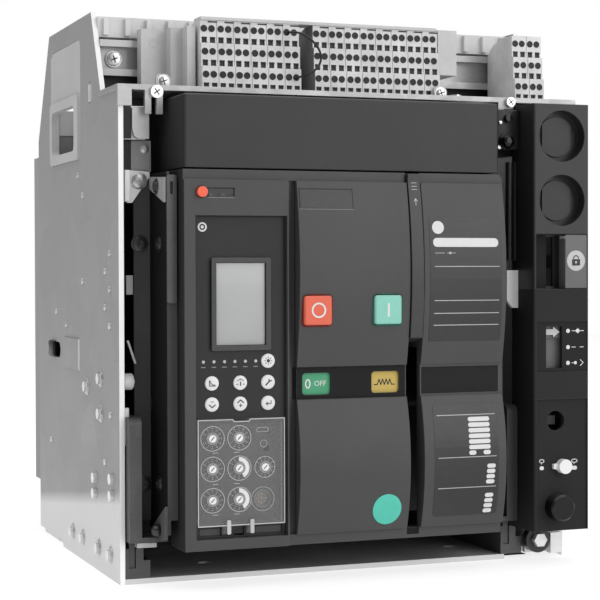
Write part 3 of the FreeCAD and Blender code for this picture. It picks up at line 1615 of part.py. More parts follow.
def charging_handle():
    """Bowed charging handle between the two bulging panels, on a pin at its lower end."""
    handle = Piece("charging_handle")
    middle = (size.centre_panel_right + size.right_panel_left) / 2
    half = size.handle_width / 2
    base = behind(size.cover_front)
    y, z = behind(size.handle_pivot_place), size.handle_pivot_level
    face = base - size.panel_rise
    upper = bulge_radius(size.panel_top - size.band_top)
    thick = 6.0
    low_face = face - size.panel_bulge * 0.72
    top = size.cover_top - 0.6
    handle.pad("YZ", middle - half, middle + half, outline(
        (y, z - size.handle_hub, -size.handle_hub * 1.01), (y, z + size.handle_hub),
        (low_face + thick, z + 10.0), (face + thick * 0.5, top), (face - 0.6, top),
        (face - 0.4, size.panel_top, upper), (low_face, z - 2.0)))
    ear = 2.6
    pin = middle - half - 0.7 - ear
    handle.pad("YZ", pin, middle + half + 0.7 + ear, circle(y, z, size.handle_pin_radius))
    return handle


def push_button(label, x):
    """Square push button with rounded corners, a bar behind it and a dished face."""
    button = Piece(label)
    base = behind(size.cover_front)
    half = size.button_side / 2
    z = size.button_level
    corner = 1.6
    face = base - size.button_proud
    rear = base + size.cover_wall + size.contact_gap + 3.0
    button.pad("XZ", face, rear, round_rectangle(x - half, z - half, x + half, z + half, corner))
    button.pad("XZ", rear - 3.0, rear, rectangle(
        x - half - 2.0, z - half * 0.6, x + half + 2.0, z + half * 0.6))
    bevel = 0.7
    button.chamfer(bevel, lambda edge: abs(edge.CenterOfMass.y - number(face)) < 0.05)
    return button


def reset_button():
    """Small round reset button."""
    button = Piece("button_reset")
    base = behind(size.cover_front)
    rise = size.panel_rise + 2.4
    collar = base + size.cover_wall + size.contact_gap
    button.pad("XZ", base - rise, collar + 2.0, circle(
        size.reset_x, size.reset_level, size.reset_radius))
    button.pad("XZ", collar, collar + 2.0, circle(
        size.reset_x, size.reset_level, size.reset_radius + 1.5))
    return button


def flag(label, x):
    """Two-colour flag plate behind its window; it slides down to show the other field."""
    plate = Piece(label)
    base = behind(size.cover_front)
    low = base - size.band_rise + 1.2 + size.contact_gap
    wide = size.flag_width / 2 + 1.2
    tall = size.flag_height / 2
    plate.pad("XZ", low, low + 1.4, rectangle(
        x - wide, size.flag_level - tall - 0.8, x + wide,
        size.flag_level + tall + size.flag_travel))
    return plate


# Trip unit

def dial_places():
    """Names and places of the rotary settings, two columns and one more at the right."""
    left, centre, right = -96.5, -81.0, -65.8
    high, middle, low = 83.1, 66.3, 49.0
    return [("dial_long_current", left, high), ("dial_long_delay", centre, high),
            ("dial_short_current", left, middle), ("dial_short_delay", centre, middle),
            ("dial_ground_current", left, low), ("dial_ground_delay", centre, low),
            ("dial_instant", right, middle)]


def trip_unit():
    """Electronic trip unit: display rim, keypad field, dial wells and test socket."""
    unit = Piece("trip_unit")
    face = behind(size.trip_face)
    rear = behind(size.trip_back)
    unit.pad("XZ", face, rear, rectangle(
        size.trip_left, size.trip_bottom, size.trip_right, size.trip_top))
    rim = size.display_rim
    unit.pad("XZ", face - size.display_rise, face, rectangle(
        size.display_left, size.display_bottom, size.display_right, size.display_top))
    unit.cut("XZ", face - size.display_rise, face + 1.0, rectangle(
        size.display_left + rim, size.display_bottom + rim,
        size.display_right - rim, size.display_top - rim))
    unit.cut("XZ", face, face + size.dial_depth, *[
        circle(x, z, size.dial_radius) for _, x, z in dial_places()])
    unit.cut("XZ", face, face + size.socket_depth,
             circle(-67.4, 48.7, size.socket_radius), circle(-65.4, 76.8, 1.9),
             rectangle(-69.5, 85.0, -63.1, 86.4))
    unit.cut("XZ", face, face + 1.2,
             rectangle(size.trip_left + 2.0, size.trip_bottom + 1.0, -91.5, 34.0),
             rectangle(-72.0, size.trip_bottom + 1.0, size.trip_right - 2.0, 34.0),
             rectangle(-88.6, size.trip_bottom + 1.0, -78.4, 38.0))
    return unit


def trip_display():
    """Glass of the display, inside its rim."""
    glass = Piece("trip_display")
    face = behind(size.trip_face)
    rim = size.display_rim + 0.2
    glass.pad("XZ", face - 0.4, face + 1.0, rectangle(
        size.display_left + rim, size.display_bottom + rim,
        size.display_right - rim, size.display_top - rim))
    return glass


def dial(label, x, z):
    """Rotary setting: a slotted rotor on the floor of its well."""
    face = behind(size.trip_face)
    rotor = Piece(label)
    proud = 0.3
    rotor.pad("XZ", face - proud, face + size.dial_depth, circle(x, z, size.dial_rotor))
    rotor.cut("XZ", face - proud, face + proud, around(x, z, 0.5, size.dial_rotor * 0.8))
    return rotor


def lid_hinge():
    """Axis of the lid's hinge, in front of the trip unit's face."""
    return (behind(size.trip_face) - size.lid_knuckle - size.contact_gap,
            size.lid_bottom - size.lid_knuckle - 1.8)


def trip_lid():
    """Transparent hinged lid over the dials, with a thumb notch above and two clips below."""
    lid = Piece("trip_lid")
    low = behind(size.lid_front)
    wall = size.lid_wall
    rim_back = behind(size.trip_face) - 0.4
    notch = 5.0
    middle = (size.lid_left + size.lid_right) / 2
    lid.pad("XZ", low, rim_back, outline(
        (size.lid_left, size.lid_bottom), (size.lid_right, size.lid_bottom),
        (size.lid_right, size.lid_top), (middle + notch, size.lid_top),
        (middle + notch - 1.0, size.lid_top - 1.2), (middle - notch + 1.0, size.lid_top - 1.2),
        (middle - notch, size.lid_top), (size.lid_left, size.lid_top)))
    lid.cut("XZ", low + wall, rim_back, rectangle(
        size.lid_left + wall, size.lid_bottom + wall, size.lid_right - wall,
        size.lid_top - wall * 2))
    y, z = lid_hinge()
    for x in LID_LUGS:
        lid.pad("YZ", x - size.lug_half, x + size.lug_half,
                circle(y, z, size.lid_knuckle))
        lid.pad("YZ", x - size.lug_half, x + size.lug_half,
                rectangle(low, z, low + wall * 1.6, size.lid_bottom + 0.5))
    return lid


# The whole breaker, piece by piece

side_plate("side_plate_left", -1)
side_plate("side_plate_right", 1)
window_grips()
base_plate()
guide_channels()
front_crossbar()
cradle_fasteners()
upper_bracket()
position_switch()
interlock_tab()
terminal_rail()
rear_beam()
group("terminal_blocks", [
    terminal_group("terminals_left", size.group_left_start, 6,
                   (wire_route()[0], wire_route()[-1])),
    terminal_group("terminals_middle", size.group_middle_start, 8),
    terminal_group("terminals_right", size.group_right_start, 2)])
terminal_end_caps()
jumper_wire()
rear_base()
rear_connectors()
finger_clusters()
shutter("shutter_upper", size.upper_level, 1)
shutter("shutter_lower", size.lower_level, -1)
extension_rail("extension_rail_left", -1)
extension_rail("extension_rail_right", 1)
racking_housing()
padlock_tab()
position_pointer()
racking_selector()
release_button()
corner_bracket()
racking_screw()
screw_bearings()
racking_carriage()
breaker_side_plates()
pole_housing()
arc_chutes()
top_case()
main_blades()
moving_contacts()
contact_pivot_rod()
pole_shaft()
mechanism_frame()
charge_shaft()
closing_spring()
current_transformers()
front_cover()
charging_handle()
push_button("button_off", size.off_x)
push_button("button_on", size.on_x)
reset_button()
flag("status_flag", size.status_x)
flag("charged_flag", size.charged_x)
trip_unit()
trip_display()
trip_lid()
for name, place_x, place_z in dial_places():
    dial(name, place_x, place_z)

# Checks and export

doc.recompute()
faults = []
for item in doc.Objects:
    if "Invalid" in item.State or "Error" in item.State:
        faults.append("%s is %s" % (item.Name, item.State))
    if item.TypeId == "PartDesign::Pocket" and item.BaseFeature is not None:
        if item.Shape.Volume > item.BaseFeature.Shape.Volume - 1e-6:
            faults.append("%s cuts nothing" % item.Name)
for solid in solids:
    if solid.Shape.isNull() or not solid.Shape.isValid() or not solid.Shape.Solids:
        faults.append("%s has no valid solid" % solid.Label)
for fault in faults:
    print("FAULT", fault)
if faults:
    raise SystemExit("the model has faults")

os.makedirs("parts", exist_ok=True)
for solid in solids:
    solid.Shape.exportStep("parts/%s.step" % solid.Label)
print("%d sub-parts written" % len(solids))
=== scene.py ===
"""A draw-out air circuit breaker in its cradle: camera, light, finishes and the fine pieces on the solids."""
import math

import bmesh
import bpy
from mathutils import Matrix, Vector
from mathutils.bvhtree import BVHTree


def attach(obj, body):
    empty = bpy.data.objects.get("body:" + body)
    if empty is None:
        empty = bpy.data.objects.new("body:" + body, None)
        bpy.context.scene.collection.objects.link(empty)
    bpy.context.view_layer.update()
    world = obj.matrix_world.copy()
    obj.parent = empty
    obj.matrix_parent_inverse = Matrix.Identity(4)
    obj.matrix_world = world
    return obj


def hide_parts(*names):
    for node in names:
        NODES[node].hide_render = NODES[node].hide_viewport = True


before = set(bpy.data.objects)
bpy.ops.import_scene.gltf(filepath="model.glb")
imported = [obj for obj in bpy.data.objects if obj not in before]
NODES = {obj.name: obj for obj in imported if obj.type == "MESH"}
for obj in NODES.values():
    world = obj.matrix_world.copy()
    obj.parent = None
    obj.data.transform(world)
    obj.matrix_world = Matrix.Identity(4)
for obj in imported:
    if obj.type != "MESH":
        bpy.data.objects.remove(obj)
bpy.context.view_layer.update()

MM = 0.001
FRONT = -106.5      # the cradle's front edge along Y; places below are given behind it, in mm


def place(x, behind, z):
    return Vector((x, FRONT + behind, z)) * MM


def show(name, data):
    """Puts data into the scene as an object of that name."""
    thing = bpy.data.objects.new(name, data)
    bpy.context.scene.collection.objects.link(thing)
    return thing


# ---------------------------------------------------------------- camera and jumper wire

CAMERA_PLACE = (-378.88, -1029.09, 175.88)
CAMERA_TURN = (20.53, 1.02, -0.16)      # degrees to the right, down and rolled
CAMERA_LENS, CAMERA_SENSOR = 102.18, 36


def set_camera():
    """The camera stands left of the breaker and looks slightly to the right."""
    yaw, pitch, roll = (math.radians(angle) for angle in CAMERA_TURN)
    ahead = Vector((math.sin(yaw) * math.cos(pitch), math.cos(yaw) * math.cos(pitch), -math.sin(pitch)))
    right = ahead.cross(Vector((0, 0, 1))).normalized()
    up = right.cross(ahead)
    right, up = (right * math.cos(roll) + up * math.sin(roll),
                 up * math.cos(roll) - right * math.sin(roll))
    lens = bpy.data.cameras.new("camera")
    lens.lens, lens.sensor_width = CAMERA_LENS, CAMERA_SENSOR
    camera = show("camera", lens)
    turn = Matrix((right, up, -ahead)).transposed().to_4x4()
    camera.matrix_world = Matrix.Translation(Vector(CAMERA_PLACE) * MM) @ turn
    bpy.context.scene.camera = camera


JUMPER_ROUTE = [(-32.644, -84.5, 315.3), (-32.644, -93.5, 315.3), (-26.644, -100.0, 312.5),
                (-19.644, -101.5, 305.8), (-17.044, -101.0, 298.8), (-21.144, -102.0, 291.9),
                (-29.144, -100.0, 288.3), (-29.144, -88.5, 288.3)]
JUMPER_THICKNESS = 1.3


def jumper_wire(insulation):
    """A short insulated wire from an upper terminal down to a lower one."""
    curve = bpy.data.curves.new("jumper", "CURVE")
    curve.dimensions = "3D"
    line = curve.splines.new("NURBS")
    line.points.add(len(JUMPER_ROUTE) - 1)
    for point, spot in zip(line.points, JUMPER_ROUTE):
        point.co = (*(Vector(spot) * MM), 1)
    line.order_u = 3
    line.use_endpoint_u = True
    line.resolution_u = 10
    curve.bevel_depth = JUMPER_THICKNESS / 2 * MM
    curve.bevel_resolution = 3
    curve.use_fill_caps = True
    curve.materials.append(insulation)
    wire = show("jumper", curve)
    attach(wire, "cradle")
    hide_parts("jumper_wire")


# ---------------------------------------------------------------- shader wiring

FLOAT, COLOUR, VECTOR, COUNT = "NodeSocketFloat", "NodeSocketColor", "NodeSocketVector", "NodeSocketInt"
MID_GREY = (0.5, 0.5, 0.5, 1)
DUST = (0.62, 0.61, 0.58, 1)


class Wiring:
    """Adds nodes to a tree; an input that is a socket is linked, any other is set."""

    def __init__(self, tree):
        self.tree = tree

    def give(self, node, inputs):
        for name, value in dict(inputs).items():
            if isinstance(value, bpy.types.NodeSocket):
                self.tree.links.new(value, node.inputs[name])
            else:
                node.inputs[name].default_value = value

    def add(self, kind, inputs=(), **settings):
        node = self.tree.nodes.new(kind)
        for name, value in settings.items():
            setattr(node, name, value)
        self.give(node, inputs)
        return node

    def math(self, operation, first, second=0.0, third=0.0):
        return self.add("ShaderNodeMath", {0: first, 1: second, 2: third}, operation=operation).outputs[0]

    def times(self, first, second):
        return self.math("MULTIPLY", first, second)

    def plus(self, first, second):
        return self.math("ADD", first, second)

    def noise(self, vector, scale, detail=3.0, rough=0.55):
        return self.add("ShaderNodeTexNoise", {"Vector": vector, "Scale": scale, "Detail": detail,
                                               "Roughness": rough}).outputs["Fac"]

    def span(self, value, low, high, to_low=0.0, to_high=1.0):
        return self.add("ShaderNodeMapRange", {"Value": value, "From Min": low, "From Max": high,
                                               "To Min": to_low, "To Max": to_high}).outputs[0]

    def mix(self, amount, first, second):
        return self.add("ShaderNodeMix", {0: amount, 6: first, 7: second}, data_type="RGBA").outputs[2]

    def spot(self):
        return self.add("ShaderNodeTexCoord").outputs["Object"]

    def normal(self):
        return self.add("ShaderNodeNewGeometry").outputs["Normal"]

    def parts(self, vector):
        return self.add("ShaderNodeSeparateXYZ", {0: vector}).outputs


def shader_group(inputs, outputs):
    """Turns the function under it, which gets and returns named sockets, into a shader node group."""
    def build(wire):
        tree = bpy.data.node_groups.new(wire.__name__, "ShaderNodeTree")
        for label, kind, value in inputs:
            tree.interface.new_socket(label, in_out="INPUT", socket_type=kind).default_value = value
        for label, kind in outputs:
            tree.interface.new_socket(label, in_out="OUTPUT", socket_type=kind)
        w = Wiring(tree)
        given = tree.nodes.new("NodeGroupInput").outputs
        w.give(tree.nodes.new("NodeGroupOutput"), wire(w, given))
        return tree
    return build


@shader_group([("Scale", FLOAT, 2500.0)], [("Height", FLOAT), ("Gloss", FLOAT)])
def moulded_grain(w, given):
    """Fine spark-eroded grain with a slow waviness under it."""
    spot = w.spot()
    fine = w.noise(spot, given["Scale"], 2.0, 0.6)
    slow = w.noise(spot, w.times(given["Scale"], 0.03), 1.0)
    return {"Height": w.plus(w.times(fine, 0.5), slow), "Gloss": w.span(fine, 0.3, 0.7, -0.5, 0.5)}


@shader_group([("Base", COLOUR, MID_GREY), ("Drift", COLOUR, MID_GREY), ("Scale", FLOAT, 20.0)],
              [("Color", COLOUR), ("Mask", FLOAT)])
def tone_drift(w, given):
    """The colour wanders a little between two tones, in clouds and in fine specks."""
    spot = w.spot()
    clouds = w.noise(spot, given["Scale"], 4.0)
    specks = w.noise(spot, w.times(given["Scale"], 14.0), 2.0)
    amount = w.span(w.plus(clouds, w.times(specks, 0.35)), 0.5, 0.85)
    return {"Color": w.mix(amount, given["Base"], given["Drift"]), "Mask": amount}


@shader_group([("Radius", FLOAT, 0.0005)], [("Normal", VECTOR), ("Edge", FLOAT)])
def soft_edges(w, given):
    """Sharp edges shade as if slightly rounded; the mask is bright along them in patches, for wear and a painted
    highlight on the edges.
    """
    bevel = w.add("ShaderNodeBevel", {"Radius": given["Radius"]}, samples=4).outputs[0]
    same = w.add("ShaderNodeVectorMath", {0: bevel, 1: w.normal()}, operation="DOT_PRODUCT").outputs["Value"]
    edge = w.span(w.math("SUBTRACT", 1.0, same), 0.02, 0.2)
    edge_patches = w.span(w.noise(w.spot(), 90.0, 4.0), 0.35, 0.65, 0.35)
    return {"Normal": bevel, "Edge": w.times(edge, edge_patches)}


@shader_group([("Color", COLOUR, MID_GREY), ("Amount", FLOAT, 0.2)], [("Color", COLOUR)])
def settled_dust(w, given):
    """A thin pale film on faces that look up."""
    up = w.parts(w.normal())["Z"]
    patch = w.span(w.noise(w.spot(), 35.0, 5.0), 0.35, 0.7, 0.2)
    film = w.times(w.times(w.span(up, 0.4, 1.0), patch), given["Amount"])
    return {"Color": w.mix(film, given["Color"], DUST)}


@shader_group([("Crystals", FLOAT, 120.0)], [("Mask", FLOAT), ("Height", FLOAT)])
def zinc_skin(w, given):
    """Rolled and galvanised sheet: large soft crystals, faint rolling lines and small stains."""
    spot = w.spot()
    crystal = w.add("ShaderNodeTexVoronoi", {"Vector": spot, "Scale": given["Crystals"]}).outputs["Color"]
    cell = w.add("ShaderNodeSeparateColor", {0: crystal}).outputs[0]
    along = w.add("ShaderNodeVectorMath", {0: spot, 1: (40.0, 40.0, 900.0)}, operation="MULTIPLY").outputs[0]
    lines = w.noise(along, 1.0, 3.0)
    stains = w.noise(spot, 26.0, 5.0, 0.62)
    blend = w.plus(w.times(cell, 0.25), w.plus(w.times(lines, 0.25), w.times(stains, 0.6)))
    return {"Mask": w.span(blend, 0.3, 0.75), "Height": w.plus(lines, w.times(cell, 0.3))}


# ---------------------------------------------------------------- finishes

FINISH = {}


def rgb(level):
    """An sRGB colour from 0 to 255, one number for a grey, as the shader's linear colour."""
    levels = level if isinstance(level, tuple) else (level,) * 3
    return tuple(((v / 255 + 0.055) / 1.055) ** 2.4 if v > 10 else v / 3294.6 for v in levels) + (1.0,)


def new_material(name):
    """A bare material, kept in FINISH, with its wiring and its shader."""
    material = FINISH[name] = bpy.data.materials.new(name)
    material.use_nodes = True
    material.node_tree.nodes.clear()
    w = Wiring(material.node_tree)
    shader = w.add("ShaderNodeBsdfPrincipled")
    w.add("ShaderNodeOutputMaterial", {"Surface": shader.outputs[0]})
    return w, shader


def use(w, group, **inputs):
    """The outputs of a node group whose inputs are given in small letters."""
    named = {name.capitalize(): value for name, value in inputs.items()}
    return w.add("ShaderNodeGroup", named, node_tree=group).outputs


def edge_wear_and_highlight(w, edges, share, colour, tone):
    """The colour, with another tone along sharp edges: partly wear, partly a painted highlight."""
    return w.mix(w.times(edges["Edge"], share), colour, rgb(tone))


def relief(w, skin, edges, depth):
    """The bump of a skin on softened edges, its depth in mm."""
    return w.add("ShaderNodeBump", {"Height": skin["Height"], "Normal": edges["Normal"],
                                    "Strength": 1.0, "Distance": depth * MM}).outputs[0]


def plastic(name, tone, drift=None, rough=0.5, grain=2500.0, depth=0.02, edge=None, radius=0.4,
            dust=0.1, coat=0.0, specular=0.35, drifts=22.0, fields=()):
    """Moulded plastic: grained, slightly cloudy, with lighter edges, partly wear and partly a painted highlight, and
    a little dust.

    Each field gives a box of x and z another tone and a duller gloss: left, right, low, high, tone. Most fields are
    painted shade, on faces turned from the light and in recesses and gaps.
    """
    w, shader = new_material(name)
    colour = use(w, tone_drift, base=rgb(tone), drift=rgb(drift or tone), scale=drifts)["Color"]
    dull = 0.0
    parts = w.parts(w.spot()) if fields else None
    # each field paints its tone over its box; most fields are painted shade
    for left, right, low, high, field_tone in fields:
        inside = w.times(*(w.math("COMPARE", parts[axis], (first + last) / 2 * MM, (last - first) / 2 * MM)
                           for axis, first, last in (("X", left, right), ("Z", low, high))))
        colour = w.mix(inside, colour, rgb(field_tone))
        dull = w.math("MAXIMUM", dull, inside)
    film = use(w, settled_dust, color=colour, amount=dust)
    edges = use(w, soft_edges, radius=radius * MM)
    skin = use(w, moulded_grain, scale=grain)
    gloss = w.span(skin["Gloss"], -0.5, 0.5, rough - 0.07, rough + 0.07)
    w.give(shader, {"Base Color": edge_wear_and_highlight(w, edges, 0.6, film["Color"], edge or tone),
                    "Roughness": w.plus(gloss, w.times(dull, 0.4)) if fields else gloss,
                    "Normal": relief(w, skin, edges, depth),
                    "Specular IOR Level": specular})
    if coat:
        w.give(shader, {"Coat Weight": coat, "Coat Roughness": 0.08})


def sheet_metal(name, tone, drift, rough=0.38, metallic=0.75, crystals=90.0, edge=235, front_highlight=None, foot=None):
    """Zinc-plated sheet; the front-facing tone is a painted highlight on the faces that look to the front, and foot
    is the tone of a painted reflection of the floor on its lower part.
    """
    w, shader = new_material(name)
    skin = use(w, zinc_skin, crystals=crystals)
    edges = use(w, soft_edges, radius=0.35 * MM)
    colour = w.mix(skin["Mask"], rgb(tone), rgb(drift))
    # painted reflection of the floor: the lower part turns lighter towards the bottom
    if foot:
        spot = w.parts(w.spot())
        level = w.plus(spot["Z"], w.times(spot["Y"], 0.12))
        colour = w.mix(w.span(level, 0.04, 0.032), colour, rgb(foot))
    # painted highlight: faces that look to the front take their own tone
    if front_highlight:
        colour = w.mix(w.span(w.parts(w.normal())["Y"], -0.8, -0.95), colour, rgb(front_highlight))
    w.give(shader, {"Base Color": edge_wear_and_highlight(w, edges, 0.8, colour, edge),
                    "Roughness": w.span(skin["Mask"], 0.0, 1.0, rough + 0.08, rough - 0.06),
                    "Normal": relief(w, skin, edges, 0.01),
                    "Metallic": metallic})


BUSH_CENTRE, BUSH_RADIUS, BUSH_DEPTH = {"X": 118.6, "Z": 11.5}, 8.0, 6.0


def bushed_steel(name):
    """Bright folded steel whose round bush is black; the bolt in front of the bush stays bright."""
    w, shader = new_material(name)
    skin = use(w, zinc_skin, crystals=140.0)
    edges = use(w, soft_edges, radius=0.3 * MM)
    parts = w.parts(w.spot())
    across, height = (w.math("SUBTRACT", parts[axis], BUSH_CENTRE[axis] * MM) for axis in "XZ")
    reach = w.math("SQRT", w.plus(w.times(across, across), w.times(height, height)))
    disc = w.math("LESS_THAN", reach, (BUSH_RADIUS + 0.2) * MM)
    ahead = w.math("LESS_THAN", parts["Y"], (FRONT - 0.1) * MM)
    behind_bolt = w.math("GREATER_THAN", parts["Y"], (FRONT - BUSH_DEPTH - 0.1) * MM)
    bush = w.times(w.times(disc, ahead), behind_bolt)
    steel = edge_wear_and_highlight(w, edges, 0.7, w.mix(skin["Mask"], rgb(196), rgb(226)), 245)
    w.give(shader, {"Base Color": w.mix(bush, steel, rgb(26)),
                    "Metallic": w.span(bush, 0.0, 1.0, 0.6, 0.0),
                    "Roughness": w.span(skin["Mask"], 0.0, 1.0, 0.42, 0.3),
                    "Normal": edges["Normal"]})


def turned_metal(name, tone, drift, rough=0.28):
    """Bright fasteners, shafts and contacts: fine turning lines, slightly uneven plating."""
    w, shader = new_material(name)
    tones = use(w, tone_drift, base=rgb(tone), drift=rgb(drift), scale=60.0)
    edges = use(w, soft_edges, radius=0.2 * MM)
    skin = use(w, moulded_grain, scale=1600.0)
    w.give(shader, {"Base Color": edge_wear_and_highlight(w, edges, 0.4, tones["Color"], 245),
                    "Roughness": w.span(tones["Mask"], 0.0, 1.0, rough - 0.05, rough + 0.1),
                    "Normal": relief(w, skin, edges, 0.004),
                    "Metallic": 0.95})


def clear_cover(name):
    """Hazy clear plastic of the hinged cover, thin enough to let the light through to the dials."""
    w, shader = new_material(name)
    skin = use(w, moulded_grain, scale=700.0)
    w.give(shader, {"Base Color": use(w, tone_drift, base=rgb(214), drift=rgb(226), scale=30.0)["Color"],
                    "Roughness": w.span(skin["Gloss"], -0.5, 0.5, 0.1, 0.22),
                    "Alpha": 0.08})


def display_glass(name):
    """Reflective liquid crystal panel: pale, with a painted shade that lightens towards the top, faint clouds and a
    faint cell grid.
    """
    w, shader = new_material(name)
    spot = w.spot()
    # painted shade: the panel lightens towards the top, with faint clouds
    slope = w.span(w.parts(spot)["Z"], 0.132, 0.182)
    shade = w.plus(w.times(slope, 0.6), w.times(w.noise(spot, 45.0, 2.0), 0.4))
    cells = w.add("ShaderNodeTexVoronoi", {"Vector": spot, "Scale": 1400.0}).outputs["Distance"]
    w.give(shader, {"Base Color": w.mix(shade, rgb((152, 153, 153)), rgb((170, 171, 171))),
                    "Roughness": w.span(cells, 0.0, 1.0, 0.16, 0.24),
                    "Coat Weight": 0.2})


sheet_metal("galvanised", 160, 176, metallic=0.4, edge=236)
sheet_metal("side_sheet", 152, 160, rough=0.55, metallic=0.15, crystals=25.0, edge=205, front_highlight=250, foot=222)
sheet_metal("base_sheet", 205, 226, rough=0.4, metallic=0.15, front_highlight=212)
sheet_metal("bracket_sheet", 176, 196, rough=0.4, metallic=0.3, edge=225)
sheet_metal("rail_steel", 70, 80, rough=0.42, metallic=0.4, edge=130)
bushed_steel("bushed")
for metal, tone, drift in (("bright_steel", 176, 206), ("bronze", (168, 142, 96), (186, 158, 108)),
                           ("copper", (184, 128, 100), (202, 150, 122))):
    turned_metal(metal, tone, drift)
turned_metal("dark_screw", 62, 84, rough=0.35)
turned_metal("silvered", 218, 235, rough=0.3)
clear_cover("clear_plastic")
display_glass("screen")
plastic("light_plastic", 186, 194, edge=215, dust=0.0)
plastic("dark_plastic", 38, 48, edge=80)
plastic("cover_plastic", 60, 64, rough=0.48, edge=102, grain=3000.0, radius=0.7,
        # painted shade on the left side, in the flags' band, the right recess and the gap under the handle
        fields=[(-113.9, -113.2, 20.0, 233.0, 22), (-49.5, 18.2, 103.3, 121.4, 22),
                (28.3, 77.5, 104.6, 119.9, 26), (19.6, 27.3, 24.0, 103.0, 14)])
# the field is painted shade on the left side of the top case
plastic("case_plastic", 40, 45, edge=80, radius=0.7, fields=[(-112.9, -112.1, 230.0, 274.0, 30)])
plastic("module_plastic", 32, 38, rough=0.42, edge=80, radius=0.6, dust=0.0,
        # the middle, the pointer's window, the lower part, the tab's bay and its slot; the window, the bay and the
        # slot are painted shade
        fields=[(103.9, 141.1, 98.6, 163.9, 31), (106.0, 141.1, 114.6, 144.5, 24), (103.9, 141.1, 19.0, 98.4, 28),
                (105.5, 117.0, 164.2, 196.5, 24), (121.7, 127.5, 165.0, 195.8, 12)])
plastic("black_plastic", 16, 24, rough=0.4, edge=48)
plastic("gloss_black", 6, 10, rough=0.22, edge=120, coat=0.15, specular=0.2)
# the field is painted shade on the handle's lower part
plastic("handle_plastic", 50, 56, rough=0.4, edge=92, radius=0.6, dust=0.0, fields=[(17.0, 31.0, 15.0, 118.0, 12)])
plastic("moulding", 42, 54, rough=0.6, edge=85,
        fields=[(-145.0, -136.5, 0.0, 300.0, 158), (136.5, 145.0, 0.0, 300.0, 158)])
# the field is painted shade on the faces at the left end of the middle row of blocks
plastic("terminal_plastic", 196, 218, rough=0.55, edge=226, radius=0.25, dust=0.0, drifts=70.0,
        fields=[(-17.9, -17.35, 240.0, 330.0, 116)])
plastic("cap_plastic", 186, 198, edge=215, radius=0.3)
plastic("beam_plastic", 205, 216, edge=236, radius=0.3)
plastic("white_plastic", 212, 220, rough=0.35, edge=235)
plastic("pointer_plastic", 220, 228, edge=236)
plastic("tab_plastic", 244, 248, edge=250)
plastic("panel_grey", 92, 100, edge=120)
plastic("black_steel", 38, 48, rough=0.42, edge=78, depth=0.01)
# the fields are painted shade on the outer side faces of the breaker's side plates
plastic("wing_steel", 72, 80, edge=96, depth=0.01, specular=0.12,
        fields=[(-120.3, -119.7, 0.0, 300.0, 18), (85.7, 86.3, 0.0, 300.0, 30)])
plastic("brace_steel", 138, 150, rough=0.42, edge=190, depth=0.01, fields=[(-121.8, -119.9, 20.0, 47.0, 76)])
plastic("strip_plastic", 78, 88, rough=0.3, edge=160, depth=0.01)
plastic("trip_plastic", 27, 31, edge=78)
plastic("bezel_plastic", 58, 64, rough=0.45, edge=135, radius=0.5)
plastic("green_plastic", (130, 194, 178), (124, 189, 173), rough=0.35, edge=(190, 232, 220))
plastic("red_plastic", (216, 100, 74), (210, 92, 68), rough=0.35, edge=(248, 165, 148))
plastic("reset_plastic", (238, 104, 76), (228, 92, 66), rough=0.35, edge=(248, 160, 130))
plastic("red_skirt", (110, 26, 22), (96, 20, 18), rough=0.4)
plastic("green_skirt", (22, 92, 76), (16, 80, 66), rough=0.4)
plastic("yellow_plastic", (190, 166, 88), (182, 158, 80), dust=0.0)
plastic("flag_plastic", (70, 152, 112), (62, 144, 104), dust=0.0)
plastic("teal_mark", (88, 196, 176), (76, 184, 164), rough=0.4, dust=0.0)
plastic("cable", 30, 44, rough=0.35, grain=1500.0)
for ink, tone, drift in (("ink_white", 206, 214), ("ink_grey", 176, 188), ("ink_line", 120, 132),
                         ("ink_dark", 40, 50)):
    plastic(ink, tone, drift, grain=4000.0, radius=0.05, dust=0.0)
plastic("label_dark", 40, 46, rough=0.36, grain=800.0, radius=0.1, dust=0.0, coat=0.05)
plastic("opening_dark", 26, 38, rough=0.55, grain=3000.0, radius=0.1, dust=0.0)

NODE_FINISH = {
    "side_sheet": "side_plate_left side_plate_right",
    "base_sheet": "base_plate",
    "galvanised": "front_crossbar terminal_rail mechanism_frame",
    "bushed": "corner_bracket",
    "bracket_sheet": "upper_bracket",
    "light_plastic": "window_grips",
    "rail_steel": "guide_channels extension_rail_left extension_rail_right",
    "bright_steel": "charge_shaft contact_pivot_rod",
    "wing_steel": "breaker_side_plates",
    "black_plastic": "position_switch racking_screw",
    "gloss_black": "release_button",
    "beam_plastic": "rear_beam",
    "terminal_plastic": "terminal_blocks",
    "cap_plastic": "terminal_end_caps",
    "moulding": "rear_base current_transformers pole_housing",
    "copper": "rear_connectors main_blades moving_contacts",
    "silvered": "finger_clusters cradle_fasteners",
    "module_plastic": "racking_housing",
    "panel_grey": "padlock_tab position_pointer",
    "bronze": "screw_bearings racking_carriage",
    "pointer_plastic": "racking_selector",
    "tab_plastic": "interlock_tab",
    "ink_line": "dial_long_current dial_long_delay dial_short_current dial_short_delay "
                "dial_ground_current dial_ground_delay dial_instant",
    "dark_plastic": "shutter_upper shutter_lower arc_chutes",
    "black_steel": "pole_shaft closing_spring",
    "case_plastic": "top_case",
    "cover_plastic": "front_cover",
    "handle_plastic": "charging_handle",
    "trip_plastic": "trip_unit",
    "screen": "trip_display",
    "clear_plastic": "trip_lid",
    "red_plastic": "button_off",
    "green_plastic": "button_on",
    "reset_plastic": "button_reset",
    "flag_plastic": "status_flag",
    "yellow_plastic": "charged_flag",
    "cable": "jumper_wire",
}


def finish_solids():
    """Puts each finish into the material slots of its solids."""
    for finish, nodes in NODE_FINISH.items():
        for node in nodes.split():
            for slot in NODES[node].material_slots:
                slot.material = FINISH[finish]


# ---------------------------------------------------------------- building pieces

